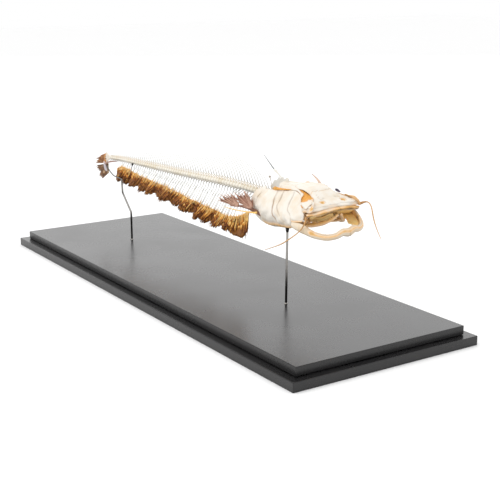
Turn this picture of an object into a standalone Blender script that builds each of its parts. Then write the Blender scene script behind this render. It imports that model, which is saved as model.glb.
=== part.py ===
"""Skeleton of a broad-headed catfish, held by two rods over a stepped black plinth.

Every length below is in millimetres. The fish swims towards +X, its right side is at -Y,
and the origin is the middle of the plinth's underside. The bones of the head are drawn in
the skull's own frame, which is rolled a little about the length of the fish.
"""

import math
from bisect import bisect

import bmesh
import bpy
import numpy as np
from mathutils import Matrix, Vector

MM = 0.001
GAP = 0.3  # clearance between neighbouring pieces
SIDEWAYS = Vector((0, 1, 0))

# Plinth
SLAB_LENGTH = 600.0
SLAB_WIDTH = 200.0
SLAB_HEIGHT = 9.5
LEDGE = 9.5
ARRIS = 0.6

# Rods
ROD_RADIUS = 1.25
WIRE_RADIUS = 0.6
FRONT_ROD = ((147, -1.6, 19.3), (148.6, -1.6, 96.6))
REAR_ROD = ((-184, -8, 19.3), (-185, -7.5, 54.5), (-211.5, -5.4, 75), (-213.5, -5.4, 92.5))
TAIL_WIRE = (
    (-213.5, -5.4, 92.5), (-219.5, -5.4, 93), (-236, -5, 93.4), (-251, -3.6, 97.5),
    (-261, -2.6, 103),
)
SINEW = ((-266, -2.6, 105), (-248, -3.8, 110), (-226, -4.2, 113.8))
TIE = ((-194, -3.2, 113), (-197, -3.4, 109.5), (-200, -3.4, 106))

# Column
VERTEBRAE = 66
COLUMN_FRONT = 118.0
COLUMN_REAR = -254.0
COLUMN_HEIGHT = ((-259, 114.3), (-227, 116.4), (-145, 119.7), (-48, 123.4), (38, 127.2), (118, 127.6))
CENTRUM_RADIUS = ((-254, 1.7), (-150, 2.5), (0, 3.1), (118, 3.6))
WAIST = 0.74
ARCH_HEIGHT = 2.2
SPINE_HEIGHT = (
    (-240, 4), (-215, 8), (-178, 12), (-93, 20.5), (-27, 22.5), (30, 25), (78, 30.5), (94, 28),
    (118, 19),
)
SPINE_LEAN = 0.95
SPINE_HALF = 0.42
HAEMAL_DEPTH = ((-245, 5), (-215, 6.5), (-190, 9), (-120, 13.5), (0, 18), (62, 20))
HAEMAL_LEAN = 0.5
SHORT_SPINES = -130.0  # behind this the lower spines are plain tapers
COLUMN_CUTS = (18, 42)  # the first vertebra of the middle and of the rear length
TRUNK_VERTEBRAE = 10  # those that carry ribs and no haemal spine

# Anal fin
FIN_FRONT = 75.0
FIN_REAR = -236.0
FIN_TOP = (
    (-236, 102), (-215, 106.5), (-194, 103.5), (-150, 100.5), (-104, 98.5), (-44, 93.5), (0, 91),
    (39, 89.5), (59, 94), (75, 101),
)
FIN_DEPTH = (
    (-244, 6), (-224, 13), (-206, 19), (-188, 17), (-164, 18.5), (-124, 16), (-93, 17),
    (-62, 17), (-39, 19.5), (1, 19), (25, 17), (44, 22), (60, 31), (75, 31),
)
FIN_RAKE = ((-236, 0.45), (20, 0.42), (58, 0.15), (75, -0.05))
FIN_HALF = 0.7
FIN_WAVE = 1.6
FIN_WAVELENGTH = 41.0
RADIAL_HEIGHT = 0.55  # of the way from the fin to the column
RADIAL_HALF = 0.32

# Skull
HEAD_PLACE = (4.0, -2.0, 128.7)
HEAD_TURN = (1.0, 0, 0)  # degrees
JAW_PLACE = (200.4, -3.3, 118.9)
JAW_TURN = (8.8, 8.4, 0)


def smooth(x, table):
    """Reads a smooth curve through the (x, value) pairs of a short table."""
    xs, ys = zip(*table)
    slopes = np.gradient(ys, xs)
    k = min(max(bisect(xs, x) - 1, 0), len(xs) - 2)
    span = xs[k + 1] - xs[k]
    s = min(max((x - xs[k]) / span, 0.0), 1.0)
    start = (1 + 2 * s) * (1 - s) ** 2 * ys[k] + s * (1 - s) ** 2 * span * slopes[k]
    end = s * s * (3 - 2 * s) * ys[k + 1] - s * s * (1 - s) * span * slopes[k + 1]
    return float(start + end)


def curve(*points):
    """A smooth path through the points, as a function of t from 0 to 1."""
    last = len(points) - 1
    tables = [[(i / last, p[axis]) for i, p in enumerate(points)] for axis in range(3)]
    return lambda t: Vector([smooth(t, table) for table in tables])


def chain(*points):
    """A path of straight runs through the points, each run an equal share of t."""
    last = len(points) - 1

    def place(t):
        k = min(int(t * last), last - 1)
        return Vector(points[k]).lerp(Vector(points[k + 1]), t * last - k)

    return place


def sized(*table):
    """Half width and half thickness along a bar, from rows of (t, width, thickness)."""
    widths = [(t, width) for t, width, _ in table]
    depths = [(t, depth) for t, _, depth in table]
    return lambda t: (smooth(t, widths), smooth(t, depths))


def tube(sides, steps):
    """A unit bar: x and y run round its section, flat on top, and z from 0 to 1 along it."""
    bm = bmesh.new()
    bmesh.ops.create_cone(bm, cap_ends=True, segments=sides, radius1=1, radius2=1, depth=1)
    turn = Matrix.Rotation(math.pi / sides, 3, "Z")
    bmesh.ops.rotate(bm, verts=bm.verts, cent=(0, 0, 0), matrix=turn)
    bmesh.ops.translate(bm, verts=bm.verts, vec=(0, 0, 0.5))
    lengthwise = [e for e in bm.edges if abs(e.verts[0].co.z - e.verts[1].co.z) > 0.5]
    bmesh.ops.subdivide_edges(bm, edges=lengthwise, cuts=steps - 1)
    return bm


def board(columns, rows):
    """A unit plate: x and y run from 0 to 1 over it, and z is -1 or 1 on its two faces."""
    bm = bmesh.new()
    bmesh.ops.create_cube(bm, size=1)
    bmesh.ops.scale(bm, verts=bm.verts, vec=(1, 1, 2))
    bmesh.ops.translate(bm, verts=bm.verts, vec=(0.5, 0.5, 0))
    for axis, count in ((0, columns), (1, rows)):
        runs = [e for e in bm.edges if abs(e.verts[0].co[axis] - e.verts[1].co[axis]) > 0.9]
        if count > 1:
            bmesh.ops.subdivide_edges(bm, edges=runs, cuts=count - 1, use_grid_fill=True)
    return bm


def face_out(bm):
    """Turns the faces of a closed shape outwards."""
    bmesh.ops.recalc_face_normals(bm, faces=bm.faces)
    if bm.calc_volume(signed=True) < 0:
        bmesh.ops.reverse_faces(bm, faces=bm.faces)


def warp(bm, place):
    """Moves each point of a unit shape to where place(x, y, z) says."""
    for vert in bm.verts:
        vert.co = place(*vert.co)
    face_out(bm)


def limb(bm, centre, size, up=Vector((0, 0, 1))):
    """Bends a tube along a path, its thickness towards up, which may be a function of t."""
    step = 0.01

    def place(x, y, t):
        ahead = (centre(min(t + step, 1)) - centre(max(t - step, 0))).normalized()
        across = ahead.cross(up(t) if callable(up) else up).normalized()
        width, depth = size(t)
        return centre(t) + across * x * width + across.cross(ahead) * y * depth

    warp(bm, place)
    return bm


def shell(bm, surface, thickness, normal=None):
    """Lays a board on a surface of (u, w), with half its thickness on each side.

    Without a normal, the thickness is square to the surface at each point.
    """
    step = 0.01

    def place(u, w, side):
        along = surface(min(u + step, 1), w) - surface(max(u - step, 0), w)
        across = surface(u, min(w + step, 1)) - surface(u, max(w - step, 0))
        outward = normal or along.cross(across).normalized()
        return surface(u, w) + outward * side * thickness(u, w) / 2

    warp(bm, place)
    return bm


def corners(face, first, second):
    """For each corner of a quad, -1 or 1 along first and -1 or 1 along second."""
    middle = face.calc_center_median()
    offsets = [vert.co - middle for vert in face.verts]
    spans = (offsets[0] + offsets[1], offsets[1] + offsets[2])
    orders = ((1, 1, -1, -1), (-1, 1, 1, -1))
    k = 0 if abs(spans[0].dot(first)) > abs(spans[1].dot(first)) else 1
    way_first = math.copysign(1, spans[k].dot(first))
    way_second = math.copysign(1, spans[1 - k].dot(second))
    return [(a * way_first, b * way_second) for a, b in zip(orders[k], orders[1 - k])]


def draw_out(bm, face, stations, first=Vector((1, 0, 0))):
    """Draws a face out into a spine. Each station is a centre and two half widths."""
    centres = [face.calc_center_median()] + [Vector(centre) for centre, _, _ in stations]
    for k, (centre, half_first, half_second) in enumerate(stations):
        ahead = centres[min(k + 2, len(stations))] - centres[k]
        second = first.cross(ahead).normalized()
        face = bmesh.ops.extrude_discrete_faces(bm, faces=[face])["faces"][0]
        for vert, (a, b) in zip(face.verts, corners(face, first, second)):
            vert.co = Vector(centre) + first * a * half_first + second * b * half_second


def mirrored(side, place):
    """The same path or surface on the other side of the fish."""
    return lambda *where: place(*where) * Vector((1, side, 1))


def halved(bm):
    """Cuts off what reaches the middle plane and closes the cut, leaving half a gap."""
    geom = bm.verts[:] + bm.edges[:] + bm.faces[:]
    middle = (0, GAP / 2, 0)
    cut = bmesh.ops.bisect_plane(bm, geom=geom, plane_co=middle, plane_no=(0, -1, 0), clear_outer=True)
    rim = [e for e in cut["geom_cut"] if isinstance(e, bmesh.types.BMEdge)]
    bmesh.ops.holes_fill(bm, edges=rim, sides=0)
    return bm


def flipped(bm, side):
    """Turns a finished shape to the given side, with its faces still pointing out."""
    bmesh.ops.scale(bm, verts=bm.verts, vec=(1, side, 1))
    face_out(bm)
    return bm


def material(name, colour, roughness, metallic=0.0):
    made = bpy.data.materials.new(name)
    made.use_nodes = True
    shader = made.node_tree.nodes["Principled BSDF"]
    shader.inputs["Base Color"].default_value = (*colour, 1)
    shader.inputs["Roughness"].default_value = roughness
    shader.inputs["Metallic"].default_value = metallic
    return made


def add(name, bm, finish, parent=None, flat=False):
    """Makes a named object of a shape that was drawn in millimetres."""
    bmesh.ops.scale(bm, verts=bm.verts, vec=(MM, MM, MM))
    mesh = bpy.data.meshes.new(name)
    bm.to_mesh(mesh)
    bm.free()
    mesh.materials.append(finish)
    if not flat:
        mesh.shade_smooth()
    obj = bpy.data.objects.new(name, mesh)
    obj.parent = parent
    bpy.data.collections["catfish_skeleton"].objects.link(obj)
    return obj


def frame(name, place, turn):
    """An empty that carries the bones drawn in its own frame."""
    empty = bpy.data.objects.new(name, None)
    empty.location = Vector(place) * MM
    empty.rotation_euler = [math.radians(angle) for angle in turn]
    bpy.data.collections["catfish_skeleton"].objects.link(empty)
    return empty


def slab(name, length, width, low, high, finish):
    bm = bmesh.new()
    bmesh.ops.create_cube(bm, size=1)
    bmesh.ops.scale(bm, verts=bm.verts, vec=(length, width, high - low))
    bmesh.ops.translate(bm, verts=bm.verts, vec=(0, 0, (low + high) / 2))
    bmesh.ops.bevel(bm, geom=bm.edges[:], offset=ARRIS, segments=1, profile=0.5, affect="EDGES", material=-1)
    add(name, bm, finish, flat=True)


def plinth(finish):
    slab("plinth_lower_slab", SLAB_LENGTH + 2 * LEDGE, SLAB_WIDTH + 2 * LEDGE, 0, SLAB_HEIGHT, finish)
    slab("plinth_upper_slab", SLAB_LENGTH, SLAB_WIDTH, SLAB_HEIGHT + GAP, 2 * SLAB_HEIGHT, finish)


def rods(finish):
    path = chain(*FRONT_ROD)
    size = sized((0, ROD_RADIUS, ROD_RADIUS), (1, ROD_RADIUS, ROD_RADIUS))
    add("rod_front", limb(tube(8, 1), path, size, Vector((1, 0, 0))), finish)
    run = [Vector(p) for p in REAR_ROD[:-1]]
    bend = curve(*TAIL_WIRE)
    run += [bend(i / 6) for i in range(7)]
    path = chain(*run)
    share = (len(REAR_ROD) - 1) / (len(run) - 1)
    size = sized((0, ROD_RADIUS, ROD_RADIUS), (share, 1.1, 1.1), (1, WIRE_RADIUS, WIRE_RADIUS))
    add("rod_rear", limb(tube(6, len(run) - 1), path, size, SIDEWAYS), finish)


def column_height(x):
    return smooth(x, COLUMN_HEIGHT)


def pitch():
    return (COLUMN_FRONT - COLUMN_REAR) / VERTEBRAE


def vertebra_x(i):
    """The middle of a vertebra, counted from the head."""
    return COLUMN_FRONT - (i + 0.5) * pitch()


def neural_stations(x):
    height = smooth(x, SPINE_HEIGHT)
    radius = smooth(x, CENTRUM_RADIUS)
    base = column_height(x)
    arch = min(radius + ARCH_HEIGHT, 0.75 * height)
    half = min(SPINE_HALF, radius / 3)
    lean = SPINE_LEAN * (height - arch)
    arch_x = x - 0.35 * pitch()
    tip = (arch_x - lean, 0, base + height)
    return ((arch_x, 0, base + arch), 1.6 * half, 1.8 * half), (tip, 0.3, 0.3)


def haemal_stations(x):
    depth = smooth(x, HAEMAL_DEPTH)
    base = column_height(x)
    radius = smooth(x, CENTRUM_RADIUS)
    start = (x - 0.3 * pitch(), 0, base - radius - 1)
    tip = (x - 0.3 * pitch() - HAEMAL_LEAN * (depth - radius), 0, base - depth)
    return ((start, 0.5, 0.45), (tip, 0.3, 0.3)) if x > SHORT_SPINES else ((tip, 0.3, 0.3),)


def column_length(name, first, last, finish):
    """Vertebrae first to last - 1, each a waisted drum with its arch and spines."""
    count = last - first
    bm = tube(6, 2 * count)
    front = COLUMN_FRONT - first * pitch() - (GAP if first else 0)
    rear = COLUMN_FRONT - last * pitch()
    tops, bottoms = [None] * count, [None] * count
    for face in bm.faces:
        middle = face.calc_center_median()
        band = int(middle.z * 2 * count)
        if 0.01 < middle.z < 0.99 and band % 2 and abs(middle.y) > 0.8:
            (tops if middle.y > 0 else bottoms)[band // 2] = face

    def place(x, y, t):
        along = front + (rear - front) * t
        waist = WAIST if round(t * 2 * count) % 2 else 1
        radius = smooth(along, CENTRUM_RADIUS) * waist
        return Vector((along, x * radius, column_height(along) + y * radius))

    warp(bm, place)
    for k, (top, bottom) in enumerate(zip(tops, bottoms)):
        x = vertebra_x(first + k)
        draw_out(bm, top, neural_stations(x))
        if first + k >= TRUNK_VERTEBRAE:
            draw_out(bm, bottom, haemal_stations(x))
    face_out(bm)
    add(name, bm, finish)


def hypural(finish):
    """The fan of fused bones at the end of the column, which carries the tail fin."""
    edge_x = (-254 - GAP, -261, -269)

    def surface(u, w):
        x = smooth(u, ((0, edge_x[0]), (0.5, edge_x[1]), (1, edge_x[2])))
        x += 3.2 * u * math.cos(2 * math.pi * (w - 0.5)) * -0.5
        low = smooth(u, ((0, 112.8), (1, 104.5)))
        high = smooth(u, ((0, 116.2), (1, 119)))
        return Vector((x, 0, low + (high - low) * w))

    add("hypural_plate", shell(board(3, 4), surface, lambda u, w: 2.4 - 1.2 * u, SIDEWAYS), finish)


def zigzag(t, count, depth):
    """1 at the tip of each of count rays along t, and 1 - depth between them."""
    return 1 - depth * (round(t * 2 * count) % 2)


def caudal_fin(finish):
    """Two short lobes of worn rays behind the hypural plate."""
    lobes = (
        ("caudal_fin_upper", ((118.4, 110.6), (114.5, 101.5)), (-271.6, -299), 1),
        ("caudal_fin_lower", ((109.8, 102.6), (97, 79)), (-271.4, -297), -1),
    )
    rays = 5
    for name, (root, tip), (start, end), sweep in lobes:

        def surface(u, w, root=root, tip=tip, start=start, end=end, sweep=sweep):
            length = (end - start) * (0.72 + 0.28 * (w if sweep > 0 else 1 - w))
            x = start + length * u * zigzag(w, rays, 0.16 * u)
            high = root[0] + (tip[0] - root[0]) * u
            low = root[1] + (tip[1] - root[1]) * u
            return Vector((x, 1.2 * math.sin(3 * u + 4 * w) * u, high + (low - high) * w))

        add(name, shell(board(2, 2 * rays), surface, lambda u, w: 1.6 - 0.7 * u, SIDEWAYS), finish)


def fin_gap(x):
    """The height between the fin and the underside of the column."""
    return column_height(x) - smooth(x, CENTRUM_RADIUS) - smooth(x, FIN_TOP)


def ray_columns():
    """The x of each ray of the anal fin: one or two rays to each haemal spine."""
    places = []
    for i in range(TRUNK_VERTEBRAE - 1, VERTEBRAE):
        for share in (0.36, 0.68) if i % 5 in (1, 3) else (0.5,):
            root = vertebra_x(i) - (0.3 + share) * pitch()
            places.append(root - HAEMAL_LEAN * fin_gap(root - 10))
    return [x for x in places if FIN_REAR + 3 < x < FIN_FRONT - 1.5]


def fin_sway(x):
    return FIN_WAVE * math.sin(2 * math.pi * x / FIN_WAVELENGTH)


def anal_fin_length(name, rays, bounds, finish):
    """A stretch of the long fin: a ragged band of rays and the radials that hold it up."""
    count = len(rays)
    bm = board(2 * count, 1)
    edges = [bounds[0] - GAP / 2]
    for ray, bound in zip(rays, bounds[1:]):
        edges += [ray, bound]
    edges[-1] += GAP / 2
    tops = [None] * count
    for face in bm.faces:
        middle = face.calc_center_median()
        column = int(middle.x * 2 * count)
        if middle.y > 0.99 and column % 2 == 0:
            tops[column // 2] = face

    def place(u, w, side):
        k = round(u * 2 * count)
        x = edges[k]
        rake = smooth(x, FIN_RAKE)
        depth = (1 - w) * smooth(x - 18 * rake, FIN_DEPTH) * (1 if k % 2 else 0.86)
        depth *= 1 + 0.07 * math.sin(x / 4.7) + 0.05 * math.sin(x / 2.1)
        sway = fin_sway(x) * (0.4 + (1 - w))
        return Vector((x - rake * depth, sway + side * FIN_HALF, smooth(x, FIN_TOP) - depth))

    warp(bm, place)
    for face, x in zip(tops, rays):
        rise = fin_gap(x) * RADIAL_HEIGHT
        tip = (x + HAEMAL_LEAN * rise, 0, smooth(x, FIN_TOP) + rise)
        draw_out(bm, face, ((tip, RADIAL_HALF, RADIAL_HALF),))
    face_out(bm)
    add(name, bm, finish)


def anal_fin(finish):
    rays = ray_columns()
    between = [(a + b) / 2 for a, b in zip(rays, rays[1:])]
    bounds = [FIN_FRONT, *between, FIN_REAR]
    third = len(rays) // 3
    cuts = (0, third, 2 * third, len(rays))
    for tag, first, last in zip(("front", "middle", "rear"), cuts, cuts[1:]):
        anal_fin_length(f"anal_fin_{tag}", rays[first:last], bounds[first : last + 1], finish)


def ribs(finish):
    """On each side a flange of side processes along the trunk, with a rib from each."""
    for name, side in (("ribs_right", -1), ("ribs_left", 1)):
        count = TRUNK_VERTEBRAE
        bm = tube(4, 2 * count)
        outer = [None] * count
        for face in bm.faces:
            middle = face.calc_center_median()
            band = int(middle.z * 2 * count)
            if 0.01 < middle.z < 0.99 and band % 2 and middle.x > 0.5:
                outer[band // 2] = face

        def place(x, y, t):
            along = COLUMN_FRONT - 1 - (pitch() * count - 1) * t
            radius = smooth(along, CENTRUM_RADIUS)
            flare = 1.0 if round(t * 2 * count) % 2 else 0.6
            out = radius + GAP + 0.75 + 0.75 * flare * x
            return Vector((along, out, column_height(along) - 1.2 + 0.6 * y))

        warp(bm, place)
        for k, face in enumerate(outer):
            x = vertebra_x(k) - 1.2
            z = column_height(x)
            drop = 27 - 0.9 * abs(k - 3)
            bow = 15 - 0.5 * k
            stations = (
                ((x - 5, bow * 0.93, z - 0.36 * drop), 0.42, 0.42),
                ((x - 12, bow * 0.82, z - drop), 0.3, 0.3),
            )
            draw_out(bm, face, stations)
        add(name, flipped(bm, side), finish)


def skull_roof(finish, head):
    """Braincase and flat roof as one solid: wide at the ears, waisted at the eyes."""
    half_width = (
        (142, 9), (149, 15), (161, 16.5), (172, 13.5), (180, 11), (187, 9), (197, 9), (202, 14),
        (206, 25), (210, 28.5), (216, 28.5), (220, 27), (224.5, 20),
    )
    crown = (
        (142, 18), (152, 18), (166, 20), (182, 22.5), (196, 22), (206, 18), (215, 13.2),
        (224.5, 9.8),
    )
    keel = (
        (142, -2), (156, -5), (170, -3), (184, 4), (198, 1.5), (208, -2), (214, -1), (219, 4.2),
        (224.5, 7.9),
    )
    front, rear = 224.5, 142
    bm = tube(12, 14)

    def place(x, y, t):
        along = smooth(t, ((0, front), (0.46, 201), (1, rear)))
        width = smooth(along, half_width)
        top, low = smooth(along, crown), smooth(along, keel)
        height = (top - low) / 2
        across = math.copysign(abs(x) ** 0.6, x)
        rise = math.copysign(abs(y) ** 0.8, y)
        narrowing = 1 if y > 0 else 1 - 0.2 * abs(y)
        return Vector((along, across * width * narrowing, low + height + rise * height))

    warp(bm, place)
    add("neurocranium", bm, finish, head)


def upper_jaw(finish, head):
    """The band of the premaxillae, a shallow arch across the front of the snout."""
    path = curve(
        (218, -30.5, 1.2), (224, -21, 3.2), (227, -8, 5.6), (227, 8, 5.6), (224, 21, 3.2),
        (218, 30.5, 1.2),
    )
    size = sized((0, 2.0, 1.3), (0.25, 3.0, 1.7), (0.5, 3.0, 1.4), (0.75, 3.0, 1.7), (1, 2.0, 1.3))
    add("upper_jaw", limb(tube(6, 9), path, size), finish, head)


def flank(x, w):
    """The outer surface of the head's right half, from the roof, w = 0, to the throat, w = 1."""
    top_y = smooth(x, (
        (108, 14), (136, 17), (156, 18.5), (168, 17), (184, 14.5), (194, 18), (204, 26),
        (212, 30.5), (216, 31),
    ))
    top_z = smooth(x, (
        (108, 9), (136, 14), (156, 16.5), (182, 18), (192, 15.5), (204, 12), (212, 9.5),
        (216, 8),
    ))
    side_y = smooth(x, ((112, 25), (140, 29), (160, 31), (185, 31.5), (216, 31.5)))
    side_z = smooth(x, ((112, -3), (140, -5), (185, -4), (216, -4)))
    low_y = smooth(x, ((112, 22), (140, 22), (160, 24), (185, 27), (205, 29.5), (216, 30.5)))
    low_z = smooth(x, ((112, -19), (140, -26), (160, -23), (185, -19), (205, -15), (216, -12)))
    y = smooth(w, ((0, top_y), (0.5, side_y), (1, low_y)))
    z = smooth(w, ((0, top_z), (0.5, side_z), (1, low_z)))
    return Vector((x, y, z))


def bone_plate(name, edges, thickness, cells, finish, head, side):
    """A curved plate on the head's flank. Edges gives x and w of the surface at (u, v)."""

    def surface(u, v):
        x, w = edges(u, v, side)
        return flank(x, w) * Vector((1, side, 1))

    add(name, shell(board(*cells), surface, lambda u, v: thickness), finish, head)


def cheek_edges(u, v, side):
    """Hyomandibula, quadrate and preopercle: from the ear down and forward to the jaw joint."""
    joint = 0.57 if side < 0 else 0.3  # the jaw hangs lower on the right
    rear = smooth(v, ((0, 158), (0.5, 163), (1, 172)))
    front = smooth(v, ((0, 209), (0.4, 214.5), (1, 212)))
    share = smooth(u, ((0, 0), (0.5, 0.6), (0.67, 0.67), (1, 1)))
    low = smooth(u, ((0, 0.93), (0.5, 0.9), (0.67, joint + 0.03), (1, joint)))
    return rear + (front - rear) * share, 0.02 + (low - 0.02) * v


def opercle_edges(u, v, side):
    """The gill cover, a rounded triangle behind the cheek."""
    rear = smooth(v, ((0, 141), (0.3, 132), (0.6, 134), (1, 146)))
    front = smooth(v, ((0, 157.4), (0.5, 162.2), (1, 170)))
    return rear + (front - rear) * u, 0.06 + 0.86 * v


def side_bones(finish, head):
    for tag, side in (("right", -1), ("left", 1)):
        bone_plate(f"cheek_{tag}", cheek_edges, 1.6, (6, 6), finish, head, side)
        bone_plate(f"opercle_{tag}", opercle_edges, 1.2, (3, 4), finish, head, side)


def mandibles(finish, jaw):
    """Each half of the U-shaped lower jaw, from the joint under the cheek to the chin."""
    reach, spread, square = 49.0, 30.8, 2 / 2.56
    size = sized(
        (0, 1.8, 3.0), (0.12, 2.2, 4.4), (0.3, 2.2, 3.4), (0.62, 2.4, 2.7), (0.85, 2.4, 3.0),
        (1, 2.8, 4.0),
    )

    def path(t):
        turn = math.pi / 2 * (1 - t)
        x = 2 + (reach - 2) * math.cos(turn) ** square if t > 0 else 2
        lift = size(t)[1] + 1.6 * smooth(t, ((0, 0), (0.8, 0), (0.92, 1), (1, -0.4)))
        return Vector((x, spread * math.sin(turn) ** square if t < 1 else 0, lift))

    for tag, side in (("right", -1), ("left", 1)):
        bm = limb(tube(6, 13), path, size)
        add(f"mandible_{tag}", flipped(halved(bm), side), finish, jaw)


def hyoids(finish, head):
    """The bar of the throat on each side, with the gill-membrane rays that hang from it."""
    path = curve(
        (229, 1.7, 0.5), (225, 6, -4.5), (217, 14, -9.5), (203, 19.5, -12.5), (190, 22, -13),
        (178, 23.5, -12.5),
    )
    size = sized((0, 1.5, 1.3), (0.5, 1.8, 2.0), (1, 1.5, 2.2))
    rays = 9
    for tag, side in (("right", -1), ("left", 1)):
        bm = tube(4, 2 * rays)
        roots = [None] * rays
        for face in bm.faces:
            middle = face.calc_center_median()
            band = int(middle.z * 2 * rays)
            if 0.01 < middle.z < 0.99 and band % 2 and middle.y < -0.5:
                roots[band // 2] = face
        limb(bm, path, size)
        for k, face in enumerate(roots):
            if k < 2:
                continue
            t = (k + 0.75) / rays
            root = path(t)
            length = 20 + 5 * t * rays / 2
            middle = root + Vector((-0.5 * length, 0.6 - 1.6 * (1 - t), -2.6 - 3 * (1 - t)))
            tip = root + Vector((-length, -1.5 - 3 * (1 - t), -5.2 - 3.4 * (1 - t)))
            spread = (path(min(t + 0.02, 1)) - path(t - 0.02)).normalized()
            draw_out(bm, face, ((middle, 0.9, 0.35), (tip, 0.6, 0.3)), spread)
        add(f"hyoid_{tag}", flipped(bm, side), finish, head)


def gill_arches(finish, head):
    """The gill basket: a bar along the floor of the throat with four arches each side."""
    arches = 4
    bm = tube(4, 2 * arches)
    roots = []
    for face in bm.faces:
        middle = face.calc_center_median()
        band = int(middle.z * 2 * arches)
        if 0.01 < middle.z < 0.99 and band % 2 and abs(middle.x) > 0.5:
            roots.append((band // 2, face))
    floor = curve((223, 0, -4.5), (210, 0, -10), (190, 0, -14), (166, 0, -16))
    limb(bm, floor, sized((0, 1.8, 1.1), (1, 1.6, 1.1)))
    for k, face in roots:
        x = 206 - 10.5 * k
        side = math.copysign(1, face.calc_center_median().y)
        low = -12 - 2 * k
        wide = 17.5 - 0.8 * k
        stations = [
            ((x - 4, side * wide * 0.8, low - 0.5), 0.8, 0.7),
            ((x - 11, side * wide, low + 7), 0.6, 0.6),
            ((x - 17, side * wide * 0.55, -7.6 + 0.2 * k), 0.5, 0.5),
        ]
        draw_out(bm, face, stations)
    face_out(bm)
    add("gill_arches", bm, finish, head)


def girdles(finish, head):
    """The shoulder girdle: down behind the gill cover and under the throat to the middle."""
    path = curve(
        (131, 15.5, 12.5), (124, 23.5, 5), (121, 27, -6), (126, 25, -18), (136, 14.5, -26.5),
        (143, 0, -30),
    )
    size = sized((0, 2.5, 0.9), (0.25, 4.5, 1.2), (0.5, 6, 1.4), (0.7, 8.5, 1.3), (1, 12.5, 1.0))

    def outward(t):
        return Vector((0, path(t).y, path(t).z + 6))

    for tag, side in (("right", -1), ("left", 1)):
        bm = limb(tube(6, 11), path, size, outward)
        add(f"girdle_{tag}", flipped(halved(bm), side), finish, head)


def pectoral_fins(finish):
    """A fan of dried rays in two lobes, folded back along the flank."""
    lengths = (
        (-3, 42), (3, 61), (9, 54), (14, 44), (19, 30), (29, 31), (40, 26), (52, 22), (61, 20),
        (76, 16), (90, 9),
    )
    first, last = lengths[0][0], lengths[-1][0]
    rays = 12

    def surface(u, v):
        angle = first + (last - first) * v
        root = Vector((130 + 6 * v, 32.5, 115 + 3 * v))
        reach = 2 + (smooth(angle, lengths) - 2) * u * zigzag(v, rays, 0.2 * u)
        turn = math.radians(angle)
        sway = 0.07 * reach + 1.5 * math.sin(0.12 * angle) * u
        return root + Vector((-reach * math.cos(turn), sway, reach * math.sin(turn)))

    for tag, side in (("right", -1), ("left", 1)):
        bm = shell(board(2, 2 * rays), surface, lambda u, v: 1.4 - 0.7 * u, SIDEWAYS)
        add(f"pectoral_fin_{tag}", flipped(bm, side), finish)


def barbels(finish):
    """The long feelers of the upper jaw, dried stiff."""
    right = curve(
        (223, -33.5, 128.6), (224, -36, 122.5), (217, -37.5, 113.6), (199, -38, 101.6),
        (186, -38, 94.6), (162, -38, 84.6),
    )
    left = curve(
        (222.5, 29.5, 133.4), (229, 32, 136.2), (236, 31, 136.4), (241, 30, 132.5),
        (244.5, 30, 122.5), (249, 30, 114.2), (255.5, 30, 105.6),
    )
    size = sized((0, 1.1, 1.1), (0.12, 0.6, 0.6), (0.7, 0.45, 0.45), (1, 0.3, 0.3))
    for name, route in (("barbel_right", right), ("barbel_left", left)):
        add(name, limb(tube(4, 14), route, size, Vector((0, 1, 0.1))), finish)


def nape(finish, head):
    """The fused first vertebrae behind the skull, with their upright crest."""
    high = lambda x: smooth(x, ((119, 9), (125, 14.5), (133, 18), (141, 17)))

    def surface(u, w):
        x = 141.4 - 25.6 * u
        return Vector((x, 0, high(x) * w))

    def thickness(u, w):
        return smooth(w, ((0, 5), (0.3, 4), (0.6, 1.6), (1, 1.0)))

    add("nape_crest", shell(board(4, 4), surface, thickness, SIDEWAYS), finish, head)


def dorsal_stub(finish, head):
    """What is left of the small dorsal fin: one ray on its root above the nape."""
    path = curve((136, 0, 19.8), (128.5, 0, 24), (119.5, 0, 28.3), (112, 0, 34), (104.7, 0, 39.2))
    size = sized((0, 0.7, 1.3), (0.35, 0.8, 1.1), (0.55, 0.4, 0.4), (1, 0.3, 0.3))
    add("dorsal_fin_stub", limb(tube(4, 8), path, size, SIDEWAYS), finish, head)


def tail_bits(sinew, steel):
    """A strip of dried sinew at the root of the tail, and a wire tie above the long fin."""
    size = sized((0, 1.1, 0.8), (1, 0.4, 0.4))
    add("tail_sinew", limb(tube(4, 4), curve(*SINEW), size, SIDEWAYS), sinew)
    size = sized((0, 0.9, 0.6), (1, 0.4, 0.4))
    add("fin_tie", limb(tube(4, 3), curve(*TIE), size, SIDEWAYS), steel)


def small_pieces(finishes, head):
    """The dried eye, the muscle left in the gaps of the skull and a loose sliver of bone."""
    path = curve((197.5, 15.8, 18.4), (200.5, 17, 17.6), (204, 18.6, 15.8))
    size = sized((0, 0.8, 0.6), (0.5, 2.0, 1.4), (1, 0.8, 0.6))
    add("eye_left", limb(tube(6, 4), path, size), finishes["eye"], head)
    sliver = curve((185.5, 11.5, 19.8), (177, 13, 24), (167, 14, 27.6))
    size = sized((0, 0.7, 0.6), (1, 0.35, 0.3))
    add("skull_splint", limb(tube(4, 4), sliver, size), finishes["bone"], head)
    for tag, side in (("right", -1), ("left", 1)):
        orbit = mirrored(side, curve((177, 13.2, 11), (188, 13.2, 10.5), (199, 15.5, 8.5)))
        size = sized((0, 1.6, 1.2), (0.5, 2.0, 2.2), (1, 2.0, 1.8))
        add(f"orbit_muscle_{tag}", limb(tube(6, 4), orbit, size), finishes["muscle"], head)


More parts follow.
